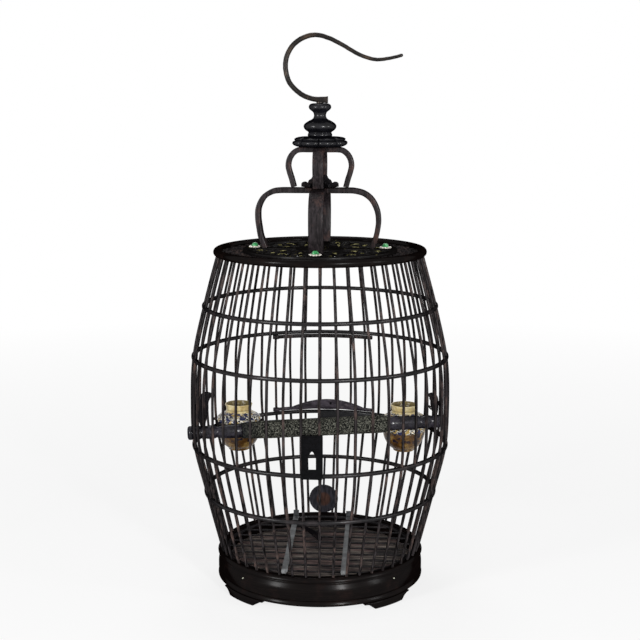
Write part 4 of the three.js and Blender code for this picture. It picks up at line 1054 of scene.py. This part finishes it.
def make_hook():
    """Forged hook: a squared foot that draws out to a round, tapering rod with a small nib."""
    foot = high("finial").z + 0.3
    top = high("hook").z - 3.2
    start = foot + 4
    rise = top - start
    shares = [(9.8, 0.0), (3, 0.0), (-10.5, 0.018), (-24, 0.092), (-36.4, 0.243), (-41.3, 0.394),
              (-42.5, 0.546), (-40.1, 0.697), (-32.7, 0.848), (-20.5, 0.957), (-6, 1), (10, 0.955),
              (27.3, 0.848), (48.2, 0.697), (67.8, 0.621), (86.2, 0.643), (101.5, 0.69)]
    path = [Vector((p[0], 0, start + p[1] * rise)) for p in spline([(x, s) for x, s in shares], 9)]
    rng = random.Random(12)
    knocks = [rng.uniform(-0.1, 0.1) for _ in range(len(path))]

    def section(t):
        squareness = max(0.0, 1 - t / 0.12)
        thin = max(0.0, t - 0.55) / 0.45
        half = (6.3 + (4.0 - 6.3) * thin) / 2
        if t > 0.985:
            half *= 1.12 - 30 * (t - 0.985)
        outline = []
        for i in range(20):
            angle = 2 * math.pi * (i + 0.5) / 20
            c, s = math.cos(angle), math.sin(angle)
            box_radius = min(1 / max(abs(c), 1e-6), 1 / max(abs(s), 1e-6))
            swell = 1 + (min(box_radius, 1.36) - 1) * min(1, 2 * squareness)
            wide = half * (1 + 0.36 * squareness)
            outline.append((wide * swell * c, wide * swell * s + knocks[int(t * (len(path) - 1))]))
        return outline

    shape = Shape(*rod(path, section, (0, 1, 0)))
    shape.add(*lathe([(0, foot - 13.8), (2.8, foot - 13.8), (2.8, foot - 0.3), (4.6, foot - 0.1),
                      (4.6, foot + 1.2), (0, foot + 1.2)], 24))
    shape.piece("forged_hook", "bronze", "hook", body="hook", sharp=45)


# Perch and its brackets
PERCH_AZIMUTH = 105
PERCH_KNOB_R = 8.7


def along_perch():
    return move(0, 0, PERCH_Z) @ facing(PERCH_AZIMUTH) @ TURN_Y


def perch_end(grit_end):
    """Turned end from the grit out to the knob, as (radius, distance) points."""
    wall = 161.1
    line = [(7.2, grit_end - 3), (7.2, grit_end + 0.4), (8.6, grit_end + 0.8), (9.2, grit_end + 2.6),
            (9.3, grit_end + 8), (8.9, grit_end + 15), (8.2, 127), (7.5, 131), (7.2, 133)]
    line += [(7.6, 134.2), (8.4, 136), (8.7, 140), (8.4, 145), (7.6, 148), (7.3, 149), (8.3, 149.8),
             (8.4, 151.4), (7.5, 152.2), (7.5, 153), (8.4, 153.8), (8.5, 157), (8.3, wall - 2.6),
             (7.4, wall - 2.2), (7.4, wall + 2.3)]
    line += [(8.2, wall + 2.6), (PERCH_KNOB_R, wall + 3.6), (PERCH_KNOB_R, wall + 6.4), (8.0, wall + 8.0),
             (6.2, wall + 8.7), (0, wall + 8.8)]
    return line


def make_perch():
    grit_left, grit_right = 101.0, 88.0
    left = [(r, -x) for r, x in perch_end(grit_left)]
    profile = list(reversed(left)) + perch_end(grit_right)
    Shape(*lathe(profile, 56), along_perch()).piece(
        "turned_perch", "turned", "perch_rod", body="perch", sharp=60)
    outer = []
    count = 150
    for i in range(count + 1):
        x = -grit_left + (grit_left + grit_right) * i / count
        radius = 11.5
        radius -= 1.9 * max(0, (-x - 62) / 40) ** 1.4
        radius -= 0.8 * max(0, (x - 78) / 9) ** 2
        outer.append((radius, x))
    profile = [(7.6, -grit_left)] + outer + [(7.6, grit_right)]
    points, faces = lathe(profile, 72, closed=True)
    rough = []
    for x, y, z in points:
        radius = math.hypot(x, y)
        if radius > 9:
            spot = Vector((x, y, z)) * 0.55
            bumps = 0.32 * noise.noise(spot) + 0.16 * noise.noise(spot * 2.3)
            x, y = x * (1 + bumps / radius), y * (1 + bumps / radius)
        rough.append((x, y, z))
    Shape(rough, faces, along_perch()).piece(
        "perch_coating", "grit", "perch_grit", body="perch", sharp=70)


def make_brackets():
    """Carved leaf brackets on the perch ends: a plate with a curled head and a bead along its back."""
    for side, azimuth in (("left", PERCH_AZIMUTH - 180), ("right", PERCH_AZIMUTH)):
        node = "perch_bracket_" + side
        bottom, top = heights(node)
        h = top - bottom
        wall = 159.2
        deep = 0.94 if side == "left" else 0.74
        drawn = [(11.5, 0.01), (6, 0.01), (3.6, 0.22), (3.0, 0.5), (4.2, 0.78), (8.2, 0.94), (14, 0.995),
                 (20, 0.965), (25.6, 0.905), (25.2, 0.845), (20.4, 0.83), (17.2, 0.7), (17.0, 0.5),
                 (15.4, 0.3), (13.4, 0.14)]
        outline = spline([(wall - inward, share) for inward, share in drawn], 6, closed=True)
        outline = [(wall - (wall - x) * deep, bottom + share * h) for x, share in outline]
        place = facing(azimuth) @ TURN_X
        shape = Shape(*plate([outline], 5.0, 0.9), place)
        for face in (1, -1):
            for inward, share, radius, start in ((9.5, 0.72, 4.6, 0.6), (10, 0.36, 4.0, 2.6)):
                curl = spiral((wall - inward, bottom + share * h), radius, 1.4, start, 1, 20)
                strip = tapered_strip(curl, lambda t: 1.5 - 0.6 * t, 0.7, 2.2)
                shape.add(*strip, place @ Matrix.Scale(face, 4, (0, 0, 1)))
        pad = [(-11.5, 0.43 * h), (11.5, 0.43 * h), (11.5, 0.59 * h), (-11.5, 0.59 * h)]
        shape.add(*plate([pad], 2.0, 0.5), facing(azimuth) @ move(wall - 1.2, 0, bottom) @ TURN_Z @ TURN_X)
        tongue = [(wall - 6, bottom + 0.44 * h), (wall - 1, bottom + 0.44 * h), (wall - 1, bottom + 0.58 * h),
                  (wall - 6, bottom + 0.58 * h)]
        shape.add(*plate([tongue], 4.6, 0.4), place)
        shape.piece("carved_bracket_" + side, "carving", node, sharp=45)


# Cups and their rings


def make_cups():
    """Glazed cups with a foot, a full shoulder, a drawn-in neck and a rolled mouth."""
    for side, arm_azimuth in (("left", -120), ("right", 127.5)):
        node = "cup_" + side
        centre = middle(node)
        bottom, top = heights(node)
        h = top - bottom
        line = [(12.8, 0.0), (14.0, 0.01), (14.5, 0.03), (15.6, 0.055), (19.4, 0.1), (23.5, 0.19),
                (26.4, 0.29), (27.9, 0.4), (28.5, 0.52), (28.5, 0.6), (28.5, 0.636), (29.1, 0.662),
                (28.7, 0.7), (26.8, 0.742), (23.4, 0.779), (19.6, 0.806), (17.4, 0.83), (16.6, 0.86),
                (16.6, 0.9), (17.1, 0.945), (17.9, 0.972), (17.9, 0.993), (17.0, 1.0), (16.0, 0.99),
                (15.1, 0.95), (14.4, 0.89), (14.6, 0.83), (17.4, 0.782), (22.0, 0.74), (25.6, 0.7),
                (26.6, 0.64), (26.0, 0.5), (23.4, 0.33), (17.0, 0.16), (11.8, 0.07), (0, 0.06)]
        profile = [(max(0, p.x), bottom + p.y * h) for p in spline(line, 4)]
        shape = Shape(*lathe([(0, bottom + 0.6), (12.2, bottom + 0.6)] + profile, 72),
                      move(centre.x, centre.y, 0))
        shape.piece("glazed_" + node, "glaze_" + side, node, body=node, sharp=50)
        make_cup_ring(side, centre, arm_azimuth)


def make_cup_ring(side, centre, arm_azimuth):
    node = "cup_ring_" + side
    z = middle(node).z
    inner, wide = 28.85, 2.1
    outline = soft_rectangle(wide, 4.4, 0.8, 3)
    shape = Shape(*hoop(inner + wide / 2, z, outline, 96), move(centre.x, centre.y, 0))
    near = math.hypot(centre.x, centre.y) + inner + 1.2
    wall = straight_radius(z) * math.cos(math.radians(STEP / 2)) + BAR_D / 2 + 0.6
    arm = [(near - 2.0, -3.5), (wall + 1, -2.9), (wall + 1, 2.9), (near - 2.0, 3.5)]
    shape.add(*plate([arm], 3.8, 0.7), facing(arm_azimuth) @ move(0, 0, z))
    head = soft_rectangle(25, 3.8, 1.8, 4)
    shape.add(*plate([head], 2.2, 0.6), facing(arm_azimuth) @ move(wall + 1.1, 0, z) @ TURN_Z @ TURN_X)
    shape.piece("cup_holder_" + side, "hoops", node, sharp=45)


# Door and the fittings on the wall


def arc_strip(radius, thick, stations, corner):
    """A strip that follows the wall, from stations of azimuth, lower edge and upper edge."""
    rings = []
    for azimuth, z0, z1 in stations:
        outline = soft_rectangle(thick, z1 - z0, min(corner, (z1 - z0) / 2.2), 3)
        rings.append([polar(azimuth, radius + u, (z0 + z1) / 2 + v) for u, v in outline])
    return sweep(rings)


def hinge_loop(shape, radius, z0, z1):
    azimuth = DOOR_AZIMUTH + DOOR_POST
    centre = polar(azimuth, radius, 0)
    profile = [(2.95, z0 + 0.2), (3.2, z0), (4.2, z0), (4.5, z0 + 0.4), (4.5, z1 - 0.4), (4.2, z1), (3.2, z1),
               (2.95, z1 - 0.2)]
    shape.add(*lathe(profile, 32, closed=True), move(centre))
    link = [DOOR_AZIMUTH + DOOR_HALF - 1 + (DOOR_POST - DOOR_HALF) * k / 4 for k in range(5)]
    shape.add(*arc_strip(radius, 3.4, [(a, z0 + 0.1, z1 - 0.1) for a in link], 0.7))


def make_door():
    lower, upper = heights("door_bottom_rail")
    radius = straight_radius(lower + 2.2)
    azimuths = spread(DOOR_AZIMUTH - DOOR_HALF, DOOR_AZIMUTH + DOOR_HALF, 72)
    end_height = 4.5

    def crest(azimuth):
        share = min(1, abs(azimuth - DOOR_AZIMUTH) / (DOOR_HALF * 0.79))
        return lower + end_height + (upper - lower - end_height) * math.cos(share * math.pi / 2) ** 0.9

    def belly(azimuth):
        share = (azimuth - DOOR_AZIMUTH) / DOOR_HALF
        return lower + 0.45 * (1 - math.cos(share * 3 * math.pi)) * (1 - abs(share))

    shape = Shape(*arc_strip(radius, DOOR_RAIL_T, [(a, belly(a), crest(a)) for a in azimuths], 1.2))
    hinge_loop(shape, radius, lower, lower + end_height)
    pull = [(0, -2), (2.0, -2), (2.0, 1.4), (2.6, 1.9), (3.3, 2.6), (3.1, 3.4), (1.6, 3.85), (0, 3.95)]
    place = move(polar(DOOR_AZIMUTH, radius + 1.9, lower + 8.9)) @ facing(DOOR_AZIMUTH)
    shape.add(*lathe(pull, 28), place @ TURN_Y)
    shape.piece("door_crescent", "rail", "door_bottom_rail", body="door", sharp=50)
    # A small near-black disc on the crescent's inner face, at the height of the pull, is painted shade that
    # stands in for a peg hole.
    place = move(polar(DOOR_AZIMUTH - 1.4, radius - 2.2, lower + 8.9)) @ facing(DOOR_AZIMUTH + 180) @ TURN_Y
    hole_shade = lathe([(0, -0.4), (1.8, -0.4), (1.6, 0.5), (0, 0.8)], 18)
    Shape(*hole_shade, place).piece("door_hole_shade", "plaque", body="door")

    top_high = high("door_bars").z
    top_low = top_high - 5
    top_radius = straight_radius(top_low + 2.5)
    shape = add_bars(Shape(), bar_azimuths(DOOR_AZIMUTH - 24, DOOR_AZIMUTH + 24), lower + 3.4,
                     top_low + 2, 77)
    shape.add(*arc_strip(top_radius, DOOR_RAIL_T, [(a, top_low, top_high) for a in azimuths], 1.2))
    hinge_loop(shape, top_radius, top_low, top_high)
    shape.piece("door_splints", "bars", "door_bars", body="door", sharp=45)


def make_fittings():
    lower, upper = heights("door_sill")
    outer = min(straight_radius(lower) - BAR_D / 2, outer_radius("sill_hoop") - HOOP_W) - 0.3
    shape = Shape(*arc_strip(outer - 3.1, 6.2, [(a, lower, upper) for a in spread(155.5, 184.6, 24)], 1.0))
    shape.piece("sill_block", "gloss", "door_sill", sharp=45)
    make_plaque()
    make_disc()


def make_plaque():
    """Upright plate with a pointed window; its smooth upper field stands between two low rims."""
    lower, upper = low("front_plaque"), high("front_plaque")
    width = upper.x - lower.x
    depth = upper.y - lower.y
    height = upper.z - lower.z
    outline = soft_rectangle(width, height, 1.6, 4)
    outline = [(x, z + height / 2) for x, z in outline]
    sill, tall, w = 11.6, 22.4, 4.5
    arch = [(-w, sill), (w, sill), (w, sill + 0.62 * tall)]
    arch += [(p.x, p.y) for p in spline([(w, sill + 0.62 * tall), (0.72 * w, sill + 0.8 * tall),
                                         (0, sill + tall), (-0.72 * w, sill + 0.8 * tall),
                                         (-w, sill + 0.62 * tall)], 5)[1:]]
    front = lower.y
    centre = (lower.x + upper.x) / 2
    place = move(centre, front + depth / 2 + 0.35, lower.z) @ TURN_X
    shape = Shape(*plate([outline, arch], depth - 0.7, 0.7), place)
    field = soft_rectangle(width - 3.2, 14.5, 1.4, 4)
    field = [(x, z + height - 9.2) for x, z in field]
    shape.add(*plate([field], 1.1, 0.5), move(centre, front + 0.55, lower.z) @ TURN_X)
    shape.piece("arched_plaque", "plaque", "front_plaque", sharp=45)


def middle_of_disc():
    lower, upper = low("back_disc"), high("back_disc")
    return Vector(((lower.x + upper.x) / 2, lower.y + 2.4, lower.z + 20))


def make_disc():
    centre = middle_of_disc()
    profile = [(0, -1.5), (8.5, -1.5), (9.5, -1.9), (10.4, -1.2), (11.5, -2.1), (17.6, -2.2),
               (19.2, -1.6), (19.9, -0.4), (19.9, 0.8), (19.0, 2.1), (0, 2.3)]
    place = move(centre) @ facing(DOOR_AZIMUTH) @ TURN_Y
    shape = Shape(*lathe([(r, -z) for r, z in profile], 72), place)
    top = low("hoop_1").z - 0.3
    hoop_r = outer_radius("hoop_1") - HOOP_W / 2 - 1
    x = centre.x
    path = [Vector((x, centre.y, centre.z + 17)), Vector((x, hoop_r, top - 1)), Vector((x, hoop_r, top))]
    shape.add(*rod(path, lambda t: circle(1.5, 12), (1, 0, 0)))
    shape.piece("turned_disc", "disc", "back_disc", sharp=50)


# Floor, backdrop and light


def seen_directly(tree):
    """One for camera, glossy and transmission rays, nothing for the rays that light the object."""
    rays = add_node(tree, "LightPath").outputs
    total = rays["Is Camera Ray"]
    for name in ("Is Glossy Ray", "Is Transmission Ray"):
        total = add_node(tree, "Math", {0: total, 1: rays[name]}, operation="MAXIMUM").outputs[0]
    return total


def stage_material():
    """White paper for the light, white by its own glow for the camera; a shade greyer near the object."""
    material = bpy.data.materials.new("studio_white")
    material.use_nodes = True
    tree = material.node_tree
    tree.nodes.clear()
    place = add_node(tree, "TexCoord").outputs["Object"]
    away = add_node(tree, "VectorMath", {0: place}, operation="LENGTH").outputs["Value"]
    limits = {"From Min": 0.5, "From Max": 2.0, "To Min": 0.8, "To Max": 1.0}
    fade = add_node(tree, "MapRange", {"Value": away, **limits}).outputs["Result"]
    share = add_node(tree, "Math", {0: seen_directly(tree), 1: fade}, operation="MULTIPLY").outputs[0]
    paper = add_node(tree, "BsdfDiffuse", {"Color": (0.86, 0.86, 0.86, 1)}).outputs[0]
    glow = add_node(tree, "Emission", {"Strength": 1.0}).outputs[0]
    mix = add_node(tree, "MixShader", {0: share, 1: paper, 2: glow}).outputs[0]
    add_node(tree, "OutputMaterial", {"Surface": mix})
    return material


def make_stage():
    mesh = bpy.data.meshes.new("studio_floor")
    size, z = 12, -0.0005
    mesh.from_pydata([(-size, -size, z), (size, -size, z), (size, size, z), (-size, size, z)], [],
                     [(0, 1, 2, 3)])
    mesh.materials.append(stage_material())
    ground = bpy.data.objects.new("studio_floor", mesh)
    bpy.context.collection.objects.link(ground)
    world = bpy.data.worlds.new("studio_world")
    bpy.context.scene.world = world
    world.use_nodes = True
    tree = world.node_tree
    background = tree.nodes["Background"]
    background.inputs["Color"].default_value = (1, 1, 1, 1)
    level = add_node(tree, "MapRange", {"Value": seen_directly(tree), "To Min": 0.2, "To Max": 1.0})
    tree.links.new(level.outputs["Result"], background.inputs["Strength"])


def add_lamp(name, azimuth, distance, height, width, tall, power):
    data = bpy.data.lights.new(name, "AREA")
    data.shape = "RECTANGLE"
    data.size = width
    data.size_y = tall
    data.energy = power
    lamp = bpy.data.objects.new(name, data)
    bpy.context.collection.objects.link(lamp)
    turn = math.radians(azimuth)
    lamp.location = (distance * math.sin(turn), -distance * math.cos(turn), height)
    target = Vector((0, 0, 0.3))
    lamp.rotation_euler = (target - lamp.location).to_track_quat("-Z", "Y").to_euler()


def make_lamps():
    add_lamp("left_softbox", -44, 2.0, 0.68, 0.3, 0.6, 25)
    add_lamp("right_softbox", 27, 2.0, 0.68, 0.18, 0.7, 27)
    add_lamp("side_softbox", 66, 2.0, 0.7, 0.16, 0.7, 9)
    add_lamp("top_softbox", 190, 1.0, 2.0, 0.7, 0.7, 12)


add_camera()
bpy.context.scene.view_settings.view_transform = "Standard"
for make in (make_materials, make_bars, make_hoops, make_base, make_floor, make_top, make_arms, make_hub,
             make_collar, make_finial, make_hook, make_perch, make_brackets, make_cups, make_door,
             make_fittings, make_stage, make_lamps):
    make()
